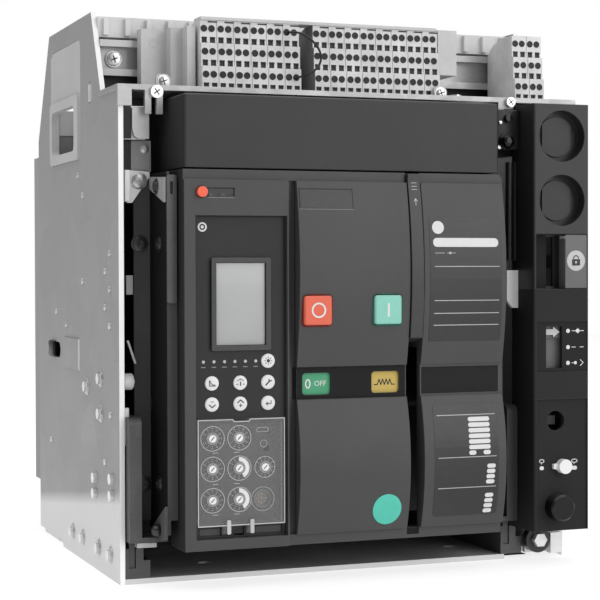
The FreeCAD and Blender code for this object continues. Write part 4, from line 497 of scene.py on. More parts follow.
FAR_AHEAD = -400        # where rays towards the front faces start, along Y
NET_STEP = 4.0          # the longest edge of a net laid on a curved surface
NET_ROUNDS = 5
CAPITAL_SHARE = 0.7     # a capital's height as a share of the font size


def skin_of(node):
    """The outside of a solid, in mm, that a ray from the front can meet."""
    mesh = NODES[node].data
    return BVHTree.FromPolygons([vertex.co / MM for vertex in mesh.vertices],
                                [face.vertices[:] for face in mesh.polygons])


def around(x, z, wide, high, degrees):
    """The place at an angle on an oval."""
    angle = math.radians(degrees)
    return (x + wide * math.cos(angle), z + high * math.sin(angle))


def oval(x, z, wide, high, sides=24):
    return [around(x, z, wide, high, 360 * i / sides) for i in range(sides)]


def circle(x, z, radius, sides=28, start=0.0, sweep=360.0):
    steps = sides if sweep >= 360 else sides + 1
    return [around(x, z, radius, radius, start + sweep * i / sides) for i in range(steps)]


def box(left, right, low, high):
    return [(left, low), (right, low), (right, high), (left, high)]


def rounded(left, right, bottom, top, radius, sides=5):
    """A rectangle with round corners, counter-clockwise seen from the front."""
    outline = []
    for x, z, start in ((right - radius, bottom + radius, -90), (right - radius, top - radius, 0),
                        (left + radius, top - radius, 90), (left + radius, bottom + radius, 180)):
        outline += circle(x, z, radius, sides, start, 90)
    return outline


def from_front(face):
    """The corners of a flat face in their order as seen from the front."""
    corners = face.verts[:]
    return corners[::-1] if face.normal.y > 0 else corners


def shape_of(holder):
    """The finished mesh of a helper object, which is then removed."""
    bpy.context.view_layer.update()
    data = bpy.data.meshes.new_from_object(holder.evaluated_get(bpy.context.evaluated_depsgraph_get()))
    bpy.data.objects.remove(holder)
    return data


class Piece:
    """Shapes given in mm, gathered into one closed mesh that rides on one body."""

    def __init__(self, name, body, slot, finish=None):
        self.name, self.body, self.slot, self.finish = name, body, slot, finish or slot
        self.mesh = bmesh.new()

    def laid(self, outline, skin, rise=0.15, sink=0.15, hole=None, depth=None):
        """A thin skin that follows the surface under it, or lies flat at a given depth."""
        flat = bmesh.new()
        edges = []
        for ring in [outline] + ([hole] if hole else []):
            corners = [flat.verts.new((x, 0, z)) for x, z in ring]
            edges += [flat.edges.new((corners[i - 1], corners[i])) for i in range(len(corners))]
        bmesh.ops.triangle_fill(flat, edges=edges, use_beauty=True, normal=(0, -1, 0))
        for _ in range(NET_ROUNDS if depth is None else 0):
            long_edges = [edge for edge in flat.edges if edge.calc_length() > NET_STEP]
            if long_edges:
                bmesh.ops.subdivide_edges(flat, edges=long_edges, cuts=1)
                bmesh.ops.triangulate(flat, faces=flat.faces[:])
        return self.thicken(flat, skin, rise, sink, depth)

    def thicken(self, flat, skin, rise, sink, depth):
        """Takes a flat net in x and z, sets it on the surface and gives it a back and sides."""
        fronts, backs, levels = {}, {}, {}
        for vertex in flat.verts:
            if depth is None:
                met = skin.ray_cast(Vector((vertex.co.x, FAR_AHEAD, vertex.co.z)), Vector((0, 1, 0)))[0]
                levels[vertex] = met.y if met else None
            else:
                levels[vertex] = depth + FRONT
        known = [level for level in levels.values() if level is not None]
        for vertex, level in levels.items():
            x, z = vertex.co.x, vertex.co.z
            level = sum(known) / len(known) if level is None else level
            fronts[vertex] = self.mesh.verts.new(Vector((x, level - rise, z)) * MM)
            backs[vertex] = self.mesh.verts.new(Vector((x, level + sink, z)) * MM)
        for face in flat.faces:
            corners = from_front(face)
            self.mesh.faces.new([fronts[v] for v in corners])
            self.mesh.faces.new([backs[v] for v in reversed(corners)])
        for edge in flat.edges:
            if len(edge.link_faces) == 1:
                corners = from_front(edge.link_faces[0])
                first, second = edge.verts
                if corners[(corners.index(first) + 1) % len(corners)] != second:
                    first, second = second, first
                self.mesh.faces.new([fronts[second], fronts[first], backs[first], backs[second]])
        flat.free()
        return self

    def prism(self, outline, near, far, hole=None):
        """A straight plate between two depths behind the front edge."""
        return self.laid(outline, None, 0.0, far - near, hole, depth=near)

    def ring(self, x, z, outer, inner, near, far, sides=28):
        return self.prism(circle(x, z, outer, sides), near, far, circle(x, z, inner, sides))

    def tube(self, rings):
        """A closed skin through rings of corners."""
        rings = [[self.mesh.verts.new(corner) for corner in ring] for ring in rings]
        for lower, upper in zip(rings, rings[1:]):
            for i in range(len(lower)):
                j = (i + 1) % len(lower)
                self.mesh.faces.new([lower[i], lower[j], upper[j], upper[i]])
        self.mesh.faces.new(rings[0][::-1])
        self.mesh.faces.new(rings[-1])
        return self

    def side(self, outline, low, high):
        """A plate that faces sideways: its outline in depth and height, between two values of x."""
        return self.tube([[place(x, depth, z) for depth, z in outline] for x in (low, high)])

    def turned(self, profile, centre, along=(0, -1, 0), sides=24):
        """A round shape: profile is (radius, height) pairs from foot to crown."""
        axis = Vector(along).normalized()
        side = axis.orthogonal().normalized()
        other = axis.cross(side)
        angles = [2 * math.pi * i / sides for i in range(sides)]
        return self.tube([[place(*centre)
                           + (axis * height + (side * math.cos(a) + other * math.sin(a)) * radius) * MM
                           for a in angles] for radius, height in profile])

    def stroke(self, points, width, skin=None, rise=0.15, sink=0.1, depth=None):
        """A drawn line with round ends and joints."""
        for (x1, z1), (x2, z2) in zip(points, points[1:]):
            length = math.hypot(x2 - x1, z2 - z1) or 1.0
            dx, dz = -(z2 - z1) / length * width / 2, (x2 - x1) / length * width / 2
            self.laid([(x1 - dx, z1 - dz), (x2 - dx, z2 - dz), (x2 + dx, z2 + dz), (x1 + dx, z1 + dz)],
                      skin, rise, sink, depth=depth)
        for x, z in points:
            self.laid(circle(x, z, width / 2, 8), skin, rise, sink, depth=depth)
        return self

    def letters(self, words, x, z, height, skin=None, rise=0.15, sink=0.1, depth=None):
        """Plain raised characters, centred on x and z."""
        curve = bpy.data.curves.new("letters", "FONT")
        curve.body = words
        curve.size = height / CAPITAL_SHARE
        curve.align_x, curve.align_y = "CENTER", "CENTER"
        curve.resolution_u = 4
        flat = bmesh.new()
        flat.from_mesh(shape_of(show("letters", curve)))
        bmesh.ops.remove_doubles(flat, verts=flat.verts, dist=0.001)
        for vertex in flat.verts:
            vertex.co = Vector((x + vertex.co.x, 0, z + vertex.co.y))
        flat.normal_update()
        return self.thicken(flat, skin, rise, sink, depth)

    def block(self, low, high, bevel=0.3):
        """A box between two corners with its edges taken off."""
        made = bmesh.ops.create_cube(self.mesh, size=1.0)["verts"]
        low, high = place(*low), place(*high)
        for vertex in made:
            vertex.co = Vector([low[i] + (vertex.co[i] + 0.5) * (high[i] - low[i]) for i in range(3)])
        edges = list({edge for vertex in made for edge in vertex.link_edges})
        bmesh.ops.bevel(self.mesh, geom=edges, offset=bevel * MM, segments=2, profile=0.5, affect="EDGES")
        return self

    def done(self, smooth=0.0):
        bmesh.ops.recalc_face_normals(self.mesh, faces=self.mesh.faces[:])
        data = bpy.data.meshes.new(self.name)
        self.mesh.to_mesh(data)
        self.mesh.free()
        settle(data, self.name, self.body, self.finish, smooth)


def settle(data, name, body, finish, smooth=0.0):
    """Puts a finished mesh into the scene on its body; smooth is the angle that stays smooth."""
    if smooth:
        data.shade_smooth()
        data.set_sharp_from_angle(angle=math.radians(smooth))
    data.materials.clear()
    data.materials.append(FINISH[finish])
    piece = show(name, data)
    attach(piece, body)


# ---------------------------------------------------------------- repeated shapes

FRONTWARD = (math.radians(90), 0, 0)
LEFTWARD = (0, math.radians(-90), 0)
RIGHTWARD = (0, math.radians(90), 0)


class GrownTree(Wiring):
    """A geometry tree with named inputs that ends in Realize Instances and Set Material."""

    def __init__(self, name, inputs):
        tree = bpy.data.node_groups.new(name, "GeometryNodeTree")
        super().__init__(tree)
        tree.interface.new_socket("Geometry", in_out="INPUT", socket_type="NodeSocketGeometry")
        for label, kind, value in inputs:
            tree.interface.new_socket(label, in_out="INPUT", socket_type=kind).default_value = value
        tree.interface.new_socket("Finish", in_out="INPUT", socket_type="NodeSocketMaterial")
        tree.interface.new_socket("Geometry", in_out="OUTPUT", socket_type="NodeSocketGeometry")
        self.given = tree.nodes.new("NodeGroupInput").outputs

    def node(self, kind, inputs, **settings):
        return self.add("GeometryNode" + kind, inputs, **settings).outputs

    def extrude(self, mesh, reach, top=True):
        return self.node("ExtrudeMesh", {"Mesh": mesh, "Selection": top, "Offset Scale": reach}, mode="FACES")

    def scaled(self, grown_faces, share):
        return self.node("ScaleElements", {"Geometry": grown_faces["Mesh"], "Selection": grown_faces["Top"],
                                           "Scale": share})[0]

    def vector(self, x=0.0, y=0.0, z=0.0):
        return self.add("ShaderNodeCombineXYZ", {0: x, 1: y, 2: z}).outputs[0]

    def on_points(self, points, shape, turn):
        return self.node("InstanceOnPoints", {"Points": points, "Instance": shape, "Rotation": turn})[0]

    def end(self, shape, turn):
        """Sets the shape on every given point."""
        real = self.node("RealizeInstances", {0: self.on_points(self.given["Geometry"], shape, turn)})[0]
        dressed = self.node("SetMaterial", {"Geometry": real, "Material": self.given["Finish"]})[0]
        self.give(self.tree.nodes.new("NodeGroupOutput"), {0: dressed})
        return self.tree


def heads_tree():
    """Fastener heads on points: a flat washer, a chamfered head of any number of sides, a sunk socket."""
    t = GrownTree("fastener_heads", [
        ("Sides", COUNT, 24), ("Radius", FLOAT, 0.003), ("Height", FLOAT, 0.002), ("Chamfer", FLOAT, 0.85),
        ("Socket", FLOAT, 0.5), ("Sink", FLOAT, 0.001), ("Washer", FLOAT, 0.004), ("Facing", VECTOR, (0, 0, 0))])
    g = t.given
    body = t.node("MeshCylinder", {"Vertices": g["Sides"], "Radius": g["Radius"], "Depth": g["Height"]})
    crown = t.extrude(body["Mesh"], t.times(g["Height"], 0.18), body["Top"])
    mouth = t.extrude(t.scaled(crown, g["Chamfer"]), 0.0, crown["Top"])
    sunk = t.extrude(t.scaled(mouth, g["Socket"]), t.times(g["Sink"], -1.0), mouth["Top"])
    washer = t.node("MeshCylinder", {"Vertices": 24, "Radius": g["Washer"], "Depth": t.times(g["Height"], 0.4)})
    both = t.add("GeometryNodeJoinGeometry")
    for part, lift in ((washer, 0.15), (sunk, 0.5)):
        t.give(both, {0: t.node("Transform", {"Geometry": part["Mesh"],
                                              "Translation": t.vector(z=t.times(g["Height"], lift))})[0]})
    return t.end(both.outputs[0], g["Facing"])


def bars_tree():
    """Small bars on points, such as dashes and square openings."""
    t = GrownTree("small_bars", [("Size", VECTOR, (0.001, 0.001, 0.001)), ("Taper", FLOAT, 0.9)])
    bar = t.node("MeshCube", {"Size": t.given["Size"]})
    return t.end(t.scaled(t.extrude(bar["Mesh"], 0.00002), t.given["Taper"]), (0, 0, 0))


def ticks_tree():
    """Short marks round an arc on each point."""
    t = GrownTree("dial_ticks", [
        ("Count", COUNT, 10), ("Radius", FLOAT, 0.005), ("Start", FLOAT, 0.0), ("Sweep", FLOAT, 6.0),
        ("Length", FLOAT, 0.0008), ("Width", FLOAT, 0.0003), ("Rise", FLOAT, 0.0002)])
    g = t.given
    arc = t.node("CurveArc", {"Resolution": g["Count"], "Radius": g["Radius"], "Start Angle": g["Start"],
                              "Sweep Angle": g["Sweep"]})
    marks = t.node("CurveToPoints", {"Curve": arc[0], "Count": g["Count"]}, mode="COUNT")
    mark = t.node("MeshCube", {"Size": t.vector(g["Rise"], g["Length"], g["Width"])})
    return t.end(t.on_points(marks["Points"], mark["Mesh"], marks["Rotation"]), FRONTWARD)


HEADS, BARS, TICKS = heads_tree(), bars_tree(), ticks_tree()
LENGTHS = {"Radius", "Height", "Sink", "Washer", "Size", "Length", "Width", "Rise"}
HEAD_INPUTS = ("Sides", "Radius", "Height", "Chamfer", "Socket", "Sink", "Washer")


def grown(tree, name, spots, body, slot, finish, smooth=0.0, **given):
    """Grows a tree on points given in mm and keeps the result as one plain mesh."""
    seeds = bpy.data.meshes.new(name)
    seeds.from_pydata([place(*spot) for spot in spots], [], [])
    holder = show(name + ".seeds", seeds)
    modifier = holder.modifiers.new("grown", "NODES")
    modifier.node_group = tree
    for item in tree.interface.items_tree:
        if item.in_out == "INPUT" and item.name in given:
            value = given[item.name]
            if item.name in LENGTHS:
                value = [v * MM for v in value] if isinstance(value, (tuple, list)) else value * MM
            modifier[item.identifier] = value
        elif item.in_out == "INPUT" and item.name == "Finish":
            modifier[item.identifier] = FINISH[finish]
    data = shape_of(holder)
    data.name = name
    settle(data, name, body, finish, smooth)


def heads(name, spots, body, slot, form, finish=None, facing=FRONTWARD):
    """Fastener heads; form gives the values of HEAD_INPUTS."""
    grown(HEADS, name, spots, body, slot, finish or slot, 40, Facing=facing, **dict(zip(HEAD_INPUTS, form)))


def bars(name, spots, body, slot, finish, size, taper=0.9):
    grown(BARS, name, spots, body, slot, finish, Size=size, Taper=taper)


# ---------------------------------------------------------------- trip unit

TRIP_FACE = -31.0
PRINT = (TRIP_FACE - 0.1, TRIP_FACE + 0.1)          # from the front of a print to its back
THICK_PRINT = (TRIP_FACE - 0.12, TRIP_FACE + 0.1)
WELL = TRIP_FACE + 0.8                              # the floor of the dials' wells
WELL_PRINT = (WELL - 0.12, WELL + 0.1)
RECESS_PRINT = (TRIP_FACE + 1.0, TRIP_FACE + 1.3)   # on the sunk field beside the lid's clips
LAMPS = [-101.7 + 6.07 * i for i in range(6)]
LAMP_Z, DASH_Z = 125.4, 122.4
DIALS = {"dial_long_current": (-96.5, 83.1), "dial_long_delay": (-81.0, 83.1),
         "dial_short_current": (-96.5, 66.3), "dial_short_delay": (-81.0, 66.3),
         "dial_ground_current": (-96.5, 49.0), "dial_ground_delay": (-81.0, 49.0),
         "dial_instant": (-65.8, 66.3)}
SECTOR_DIALS = ("dial_short_delay", "dial_ground_delay")


def rays(angles, inner, outer, width):
    """Short lines between two ovals, each half as wide and half as high as given."""
    return [(width, [around(0, 0, *inner, angle), around(0, 0, *outer, angle)]) for angle in angles]


LAMP_KEY = (-64.3, 125.4)       # its sign has a dot inside its rays
# each key's place and the lines of its sign round that place, each a width and its points
KEYS = {
    (-97.0, 113.6): [(0.42, [(-1.6, 1.6), (-1.5, -1.4), (1.8, -1.4)]),
                     (0.42, [(-1.0, 1.2), (-0.6, -0.2), (0.4, -0.8), (1.6, -0.9)])],
    (-80.6, 113.6): rays((35, 65, 90, 115, 145), (1.7, 1.8), (2.1, 2.2), 0.42) + [
        (0.6, [(0, -1.5), (0, 0.4)]), (0.42, [(-2.2, -0.8), (-1.5, -0.8)]), (0.42, [(1.5, -0.8), (2.2, -0.8)])],
    (-64.3, 113.6): [(0.75, [(-1.4, -1.6), (0.6, 0.5)]), (0.6, [(0.3, 1.5), (0.5, 0.5), (1.8, 0.7)])],
    (-97.0, 102.0): [(0.35, [(-0.8, 1.5), (0.8, 1.5)]), (0.6, [(-1.7, -0.2), (0, -1.7), (1.7, -0.2)])],
    (-80.6, 102.0): [(0.6, [(-1.7, 0.6), (0, 2.1), (1.7, 0.6)]), (0.42, [(-0.8, -0.9), (0.8, -0.9)]),
                     (0.42, [(0, -1.7), (0, -0.1)])],
    (-64.3, 102.0): [(0.42, [(1.5, 1.3), (1.5, -0.4), (-1.3, -0.4)]),
                     (0.42, [(-0.5, 0.4), (-1.4, -0.4), (-0.5, -1.2)])],
    LAMP_KEY: rays(range(0, 360, 45), (1.5, 1.5), (2.2, 2.2), 0.3),
}


def trip_keys():
    """The seven keys of the trip unit and the signs on them."""
    caps = Piece("menu_keys", "breaker", "white_plastic")
    marks = Piece("menu_key_marks", "breaker", "black_plastic", "ink_dark")
    top = TRIP_FACE - 1.15
    for (x, z), sign in KEYS.items():
        caps.turned([(4.0, -0.4), (4.0, 0.7), (3.8, 1.0), (3.3, 1.15), (1.5, 1.25)], (x, TRIP_FACE, z))
        for width, line in sign:
            marks.stroke([(x + dx, z + dz) for dx, dz in line], width, depth=top, rise=0.2, sink=0.3)
    caps.done(40)
    marks.laid(circle(*LAMP_KEY, 0.95, 12), None, 0.2, 0.3, depth=top)
    marks.done()


def trip_lamps():
    """Signal lamps with a dash under each, the rim of the display and the printed ring above it."""
    lamps = Piece("signal_lamps", "breaker", "white_plastic", "ink_grey")
    for x in LAMPS:
        lamps.turned([(0.9, -0.3), (0.9, 0.25), (0.65, 0.45), (0.3, 0.5)], (x, TRIP_FACE, LAMP_Z), sides=14)
    lamps.done(50)
    bars("lamp_dashes", [(x, TRIP_FACE - 0.02, DASH_Z) for x in LAMPS], "breaker", "white_plastic", "ink_line",
         (2.6, 0.1, 0.5))
    Piece("display_bezel", "breaker", "black_plastic", "bezel_plastic").prism(
        rounded(-97.3, -63.0, 131.5, 182.6, 1.0), TRIP_FACE - 2.0, TRIP_FACE - 1.5,
        rounded(-94.6, -65.7, 134.2, 179.9, 0.5)).done()
    x, z = -102.0, 199.4
    disc = Piece("trip_unit_disc", "breaker", "white_plastic", "ink_white")
    disc.ring(x, z, 2.6, 1.7, *THICK_PRINT)
    disc.prism(circle(x, z, 0.9, 16), *THICK_PRINT)
    disc.done()


def trip_dials():
    """Printed rings, marks and sectors round the setting dials, and a hub and a slot on each rotor."""
    rings = Piece("dial_rings", "breaker", "white_plastic", "ink_grey")
    wedges = Piece("dial_sectors", "breaker", "white_plastic", "tab_plastic")
    for name, (x, z) in DIALS.items():
        if name == "dial_instant":
            rings.ring(x, z, 6.1, 5.75, *WELL_PRINT, 36)
        else:
            rings.ring(x, z, 6.95, 6.6, *PRINT, 40)
        if name in SECTOR_DIALS:
            wedges.prism(circle(x, z, 6.2, 14, -60, 150) + circle(x, z, 3.7, 14, -60, 150)[::-1], *WELL_PRINT)
    for z in (75.2, 57.9, 41.0):
        for left, right in ((-96.5, -93.4), (-84.1, -81.0)):
            rings.stroke([(left, z), (right, z)], 0.3, depth=TRIP_FACE, rise=0.1)
    rings.done()
    wedges.done()
    for name, radius, length, width in (("dial_ticks", 4.35, 1.2, 0.42), ("dial_figures", 5.5, 0.5, 0.8)):
        grown(TICKS, name, [(x, WELL - 0.05, z) for x, z in DIALS.values()], "breaker", "white_plastic",
              "tab_plastic", Radius=radius, Length=length, Width=width, Rise=0.12, Count=11,
              Start=math.radians(-150), Sweep=math.radians(300))
    front = TRIP_FACE - 0.34
    for name, (x, z) in DIALS.items():
        Piece(name + "_hub", name + "_rotor", "white_plastic", "tab_plastic").prism(
            circle(x, z, 2.1, 20), front, TRIP_FACE - 0.2).done()
        Piece(name + "_slot", name + "_rotor", "black_plastic", "ink_dark").stroke(
            [(x - 0.8, z - 0.9), (x + 0.8, z + 0.9)], 0.6, depth=front, rise=0.05).done()


def trip_socket():
    """The service socket with its pins, the small jack above it and the key slot's outline."""
    x, z = -67.4, 48.7
    jack, jack_z = x + 0.6, 79.4
    inner = rounded(x - 3.1, x + 3.1, 86.3, 88.1, 0.7)
    Piece("socket_ring", "breaker", "white_plastic", "ink_line").ring(x, z, 6.9, 6.4, *PRINT, 36).ring(
        jack, jack_z, 2.2, 1.7, *PRINT, 24).prism(
        rounded(x - 3.6, x + 3.6, 85.8, 88.6, 1.0), *PRINT, inner).done()
    Piece("jack_hole", "breaker", "black_plastic").prism(
        circle(jack, jack_z, 1.7, 24), *THICK_PRINT).prism(
        inner, *THICK_PRINT).done()
    Piece("service_socket", "breaker", "black_plastic", "panel_grey").turned(
        [(5.3, 0.0), (5.3, 3.2), (5.0, 3.5), (4.6, 3.5), (4.5, 1.2), (1.0, 1.2)], (x, TRIP_FACE + 3.9, z),
        sides=32).done(40)
    pins = circle(x, z, 2.6, 8) + [(x, z)]
    heads("socket_pins", [(px, TRIP_FACE + 2.7, pz) for px, pz in pins], "breaker", "bright_steel",
          (10, 0.42, 0.5, 0.7, 0.5, 0.1, 0.42), "bronze")


def trip_recess_line():
    """The dark joint round the trip unit, the thumb notch, and the lid's plates and clips, and a pale rim on the lid
    that is a painted highlight of its edge.
    """
    line = Piece("trip_unit_joint", "breaker", "black_plastic")
    line.prism(rounded(-107.6, -52.9, 27.2, 206.4, 3.0), TRIP_FACE - 0.05, TRIP_FACE + 1.5,
               rounded(-106.7, -53.8, 28.1, 205.5, 2.4))
    line.prism(circle(-80.8, 29.3, 3.2, 16, 0, 180), *RECESS_PRINT)
    line.prism(box(-88.5, -78.5, 29.3, 30.1), *RECESS_PRINT)
    line.done()
    plates = Piece("bare_plates", "breaker", "black_plastic", "bezel_plastic")
    for left, right in ((-103.8, -92.0), (-71.5, -56.5)):
        plates.prism(rounded(left, right, 29.8, 33.4, 0.4), *RECESS_PRINT)
    plates.done()
    clips = Piece("lid_clips", "lid", "clear_plastic", "ink_grey")
    for x in (-88.5, -75.0):
        clips.prism(rounded(x - 1.1, x + 1.1, 30.6, 38.4, 0.6), -35.5, -34.8)
    clips.done()
    # a pale rim on the clear lid: a painted highlight of its bright edge
    Piece("lid_edge_highlight", "lid", "clear_plastic", "ink_grey").prism(
        [(-106.2, 35.2), (-55.7, 35.2), (-55.7, 93.9), (-75.9, 93.9), (-76.9, 92.7), (-85.0, 92.7),
         (-86.0, 93.9), (-106.2, 93.9)], -35.05, -34.85,
        [(-105.7, 35.8), (-56.2, 35.8), (-56.2, 93.4), (-75.6, 93.4), (-76.6, 92.2), (-85.3, 92.2),
         (-86.3, 93.4), (-105.7, 93.4)]).done()


# ---------------------------------------------------------------- front of the breaker

FLAG_FACE, FLAG_Z = -31.5, 111.9
BUTTON_PRINT = (-41.3, -41.0)
BUTTON_Z = 153.3


def flags_and_buttons(cover):
    """Marks on the two flags and the two push buttons, their dark frames, and the bare teal disc."""
    x, z = -35.9, FLAG_Z
    Piece("status_flag_marks", "open_flag", "white_plastic", "ink_white").laid(
        oval(x - 4.8, z, 1.7, 2.7), None, 0.12, 0.1, oval(x - 4.8, z, 0.9, 1.9), depth=FLAG_FACE).letters(
        "OFF", x + 2.6, z, 2.9, depth=FLAG_FACE, rise=0.12).done()
    x = 6.0
    wave = [(x - 4.4 + i * 1.1, z + (1.5 if i % 2 else -1.5)) for i in range(9)]
    Piece("charged_flag_marks", "spring_flag", "black_plastic", "ink_dark").stroke(
        [(x - 6.2, z - 1.5)] + wave + [(x + 6.2, z - 1.5)], 0.55, depth=FLAG_FACE, rise=0.12).done()
    Piece("off_button_ring", "off_button", "white_plastic", "ink_white").ring(
        -37.6, BUTTON_Z, 4.3, 3.3, *BUTTON_PRINT, 36).done()
    Piece("on_button_bar", "on_button", "white_plastic", "ink_white").prism(
        rounded(4.6 - 0.65, 4.6 + 0.65, 149.2, 156.9, 0.2), *BUTTON_PRINT).done()
    z = BUTTON_Z - 0.1
    for name, x, slot, finish in (("off_button_frame", -37.8, "red_plastic", "red_skirt"),
                                  ("on_button_frame", 4.6, "green_plastic", "green_skirt")):
        outer, inner = (rounded(x - half, x + half, z - half, z + half, corner)
                        for half, corner in ((9.3, 2.6), (8.5, 1.8)))
        Piece(name, "breaker", slot, finish).laid(outer, cover, 0.12, 0.3, inner).done()
    Piece("teal_disc", "breaker", "green_plastic", "teal_mark").laid(
        circle(5.0, 39.9, 8.8, 48), cover, 0.25, 0.2).done()


def bare_recesses(cover, handle):
    """The empty plate places on the cover, shown by painted shade along their upper and side edges and a painted
    highlight along their lower edge, and the line marks on the handle.
    """
    sunk = Piece("bare_place_painted_shade", "breaker", "black_plastic")
    lit = Piece("bare_place_painted_highlight", "breaker", "dark_plastic", "ink_line")
    # black strips along the top and the sides are painted shade; the pale strip below each place is a painted
    # highlight
    for left, right, low, high in ((-47.4, -15.1, 209.7, 221.2), (-100.0, -84.5, 215.6, 220.9)):
        for edge in ((left, right, high - 0.5, high), (left, left + 0.55, low, high),
                     (right - 0.3, right, low, high)):
            sunk.laid(box(*edge), cover, 0.1, 0.2)
        lit.laid(box(left, right, low - 0.3, low), cover, 0.1, 0.2)
    sunk.done()
    lit.done()
    inner = Piece("bare_places", "breaker", "black_plastic", "label_dark")
    for sides in ((-46.8, -15.5, 210.0, 220.6), (-99.4, -84.8, 215.9, 220.3)):
        inner.laid(rounded(*sides, 0.3), cover, 0.06, 0.2)
    inner.done()
    marks = Piece("handle_marks", "handle", "white_plastic", "ink_grey")
    marks.stroke([(23.3, 212.4), (23.3, 216.0)], 0.35, handle)
    marks.stroke([(22.3, 214.6), (23.3, 216.2), (24.3, 214.6)], 0.35, handle)
    for z in (221.4, 223.2, 225.2):
        marks.stroke([(21.4, z), (24.6, z)], 0.3, handle)
    marks.done()


PANEL_FIELD_ROWS = [(89.4 - row * 3.2, 55.5, 69.2) for row in range(6)] + [(70.2, 55.5, 60.0), (70.2, 64.6, 69.2)]
PANEL_RULES = ((177.5, 33.8, 75.0), (158.0, 33.8, 75.0), (150.7, 33.8, 75.0), (143.9, 33.8, 75.0),
               (92.0, 36.0, 73.0), (67.8, 36.0, 73.0), (50.2, 36.0, 73.0))


def cover_labels(cover):
    """Two dark plates on the right panel, bare but for thin rules and pale fields."""
    Piece("right_panel_plates", "breaker", "black_plastic", "label_dark").laid(
        rounded(31.0, 76.8, 134.6, 206.0, 0.8), cover, 0.15, 0.2).laid(
        rounded(33.8, 74.6, 33.8, 98.4, 2.0), cover, 0.15, 0.2).done()
    fields = Piece("right_panel_fields", "breaker", "white_plastic", "ink_white")
    fields.laid(rounded(33.0, 74.4, 188.7, 193.8, 2.4), cover, 0.3, 0.1)
    fields.laid(circle(36.4, 199.8, 3.7, 32), cover, 0.3, 0.1)
    for z, left, right in PANEL_FIELD_ROWS:
        fields.laid(rounded(left, right, z - 1.25, z + 1.25, 1.1, 3), cover, 0.3, 0.1)
    for row in range(8):
        z = (62.2 if row < 4 else 57.3) - row * 3.05
        left = 67.0 - row * 0.2
        fields.laid(rounded(left, left + 5.4, z - 1.2, z + 1.2, 1.1, 3), cover, 0.3, 0.1)
    fields.done()
    rules = Piece("right_panel_rules", "breaker", "white_plastic", "ink_grey")
    for z, left, right in PANEL_RULES:
        rules.laid(box(left, right, z - 0.2, z + 0.2), cover, 0.3, 0.1)
    for left, right in ((34.1, 40.0), (41.6, 47.0)):
        rules.stroke([(left, 185.2), (right, 185.2)], 0.3, cover, rise=0.3)
    rules.laid(circle(43.6, 185.2, 0.8, 12), cover, 0.3, 0.1)
    rules.done()


# ---------------------------------------------------------------- racking module

TAB_FACE = -27.1
MODULE_LINES = [(0.4, [(129.9, 138.9), (138.0, 138.9)]), (0.35, [(133.9, 137.4), (135.2, 138.9), (133.9, 140.4)]),
                (0.4, [(129.9, 129.2), (132.4, 129.2)]), (0.4, [(135.4, 129.2), (138.0, 129.2)]),
                (0.4, [(129.9, 119.8), (131.6, 119.8)]), (0.4, [(135.6, 121.6), (137.6, 119.8), (135.6, 118.0)])]


def module_marks(module):
    """The padlock sign on its tab, the three positions of the pointer and the signs of the selector."""
    x, z = 132.6, 180.8
    Piece("padlock_sign", "padlock", "white_plastic", "ink_grey").laid(
        circle(x, z, 6.1, 40), None, 0.15, 0.2, depth=TAB_FACE).side(
        box(TAB_FACE + 0.4, TAB_FACE + 6.2, 194.0, 195.5), 125.2, 125.6).done()
    Piece("padlock_shape", "padlock", "black_plastic", "ink_dark").laid(
        rounded(129.9, 135.3, 177.9, 181.7, 0.4), None, 0.12, 0.1, circle(x, 179.9, 0.8, 12),
        depth=TAB_FACE - 0.15).stroke(circle(x, 182.1, 1.7, 8, 0, 180), 0.5, depth=TAB_FACE - 0.15, rise=0.12).done()
    Piece("pointer_arrow", "pointer", "white_plastic", "ink_grey").prism(
        [(113.3, 136.6), (118.3, 136.6), (118.3, 135.1), (122.8, 138.3), (118.3, 141.5), (118.3, 140.0),
         (113.3, 140.0)], -25.0, -24.7).done()
    Piece("pointer_track", "cradle", "dark_plastic", "panel_grey").prism(
        rounded(111.0, 125.0, 115.5, 143.5, 0.6), -21.9, -20.9).done()
    marks = Piece("module_marks", "cradle", "white_plastic", "ink_white")
    for z in (138.9, 129.2, 119.8):
        marks.laid(circle(127.3, z, 1.25, 18), module, 0.15, 0.1)
    for x, z, radius in ((133.6, 138.9, 1.1), (132.3, 119.8, 0.95)):
        marks.laid(circle(x, z, radius, 16), module, 0.2, 0.1)
    for width, line in MODULE_LINES:
        marks.stroke(line, width, module)
    for x, z, wide in ((109.8, 61.6, 1.7), (131.8, 61.0, 2.1)):
        marks.laid(oval(x, z, wide, 1.25), module, 0.15, 0.1, oval(x, z, wide - 0.5, 0.8))
        marks.stroke([(x - 0.2, z - 0.5), (x - 0.2, z - 1.9)], 0.35, module)
        marks.laid(rounded(x - wide + 0.3, x + wide - 0.3, z - 5.3, z - 3.0, 1.0, 4), module, 0.15, 0.1)
    marks.done()


def right_gap_mechanism():
    """Dark block, knob and channel between the breaker and the racking module."""
    Piece("gap_block", "cradle", "dark_plastic", "module_plastic").block(
        (88.6, -10.0, 247.4), (103.6, 4.0, 271.4), 1.2).block(
        (96.2, -10.6, 181.0), (97.4, -6.0, 240.0)).block((100.2, -10.6, 181.0), (101.2, -6.0, 240.0)).done(40)
    Piece("gap_knob", "cradle", "black_plastic", "gloss_black").turned(
        [(4.6, 0.0), (4.6, 1.6), (3.9, 2.2), (3.6, 5.2), (3.0, 5.8), (1.2, 6.0)], (94.2, -10.0, 252.0)).turned(
        [(2.4, 0.0), (2.4, 2.6), (2.0, 3.0), (0.8, 3.1)], (95.6, -10.0, 266.0)).done(40)
    pins = Piece("gap_pins", "cradle", "bright_steel")
    for radius, x, z in ((1.3, 90.8, 263.4), (1.4, 90.0, 248.6)):
        pins.turned([(radius, 0.0), (radius, 0.8), (radius - 0.3, 1.2), (0.4, 1.3)], (x, -10.0, z), sides=18)
    pins.done(40)


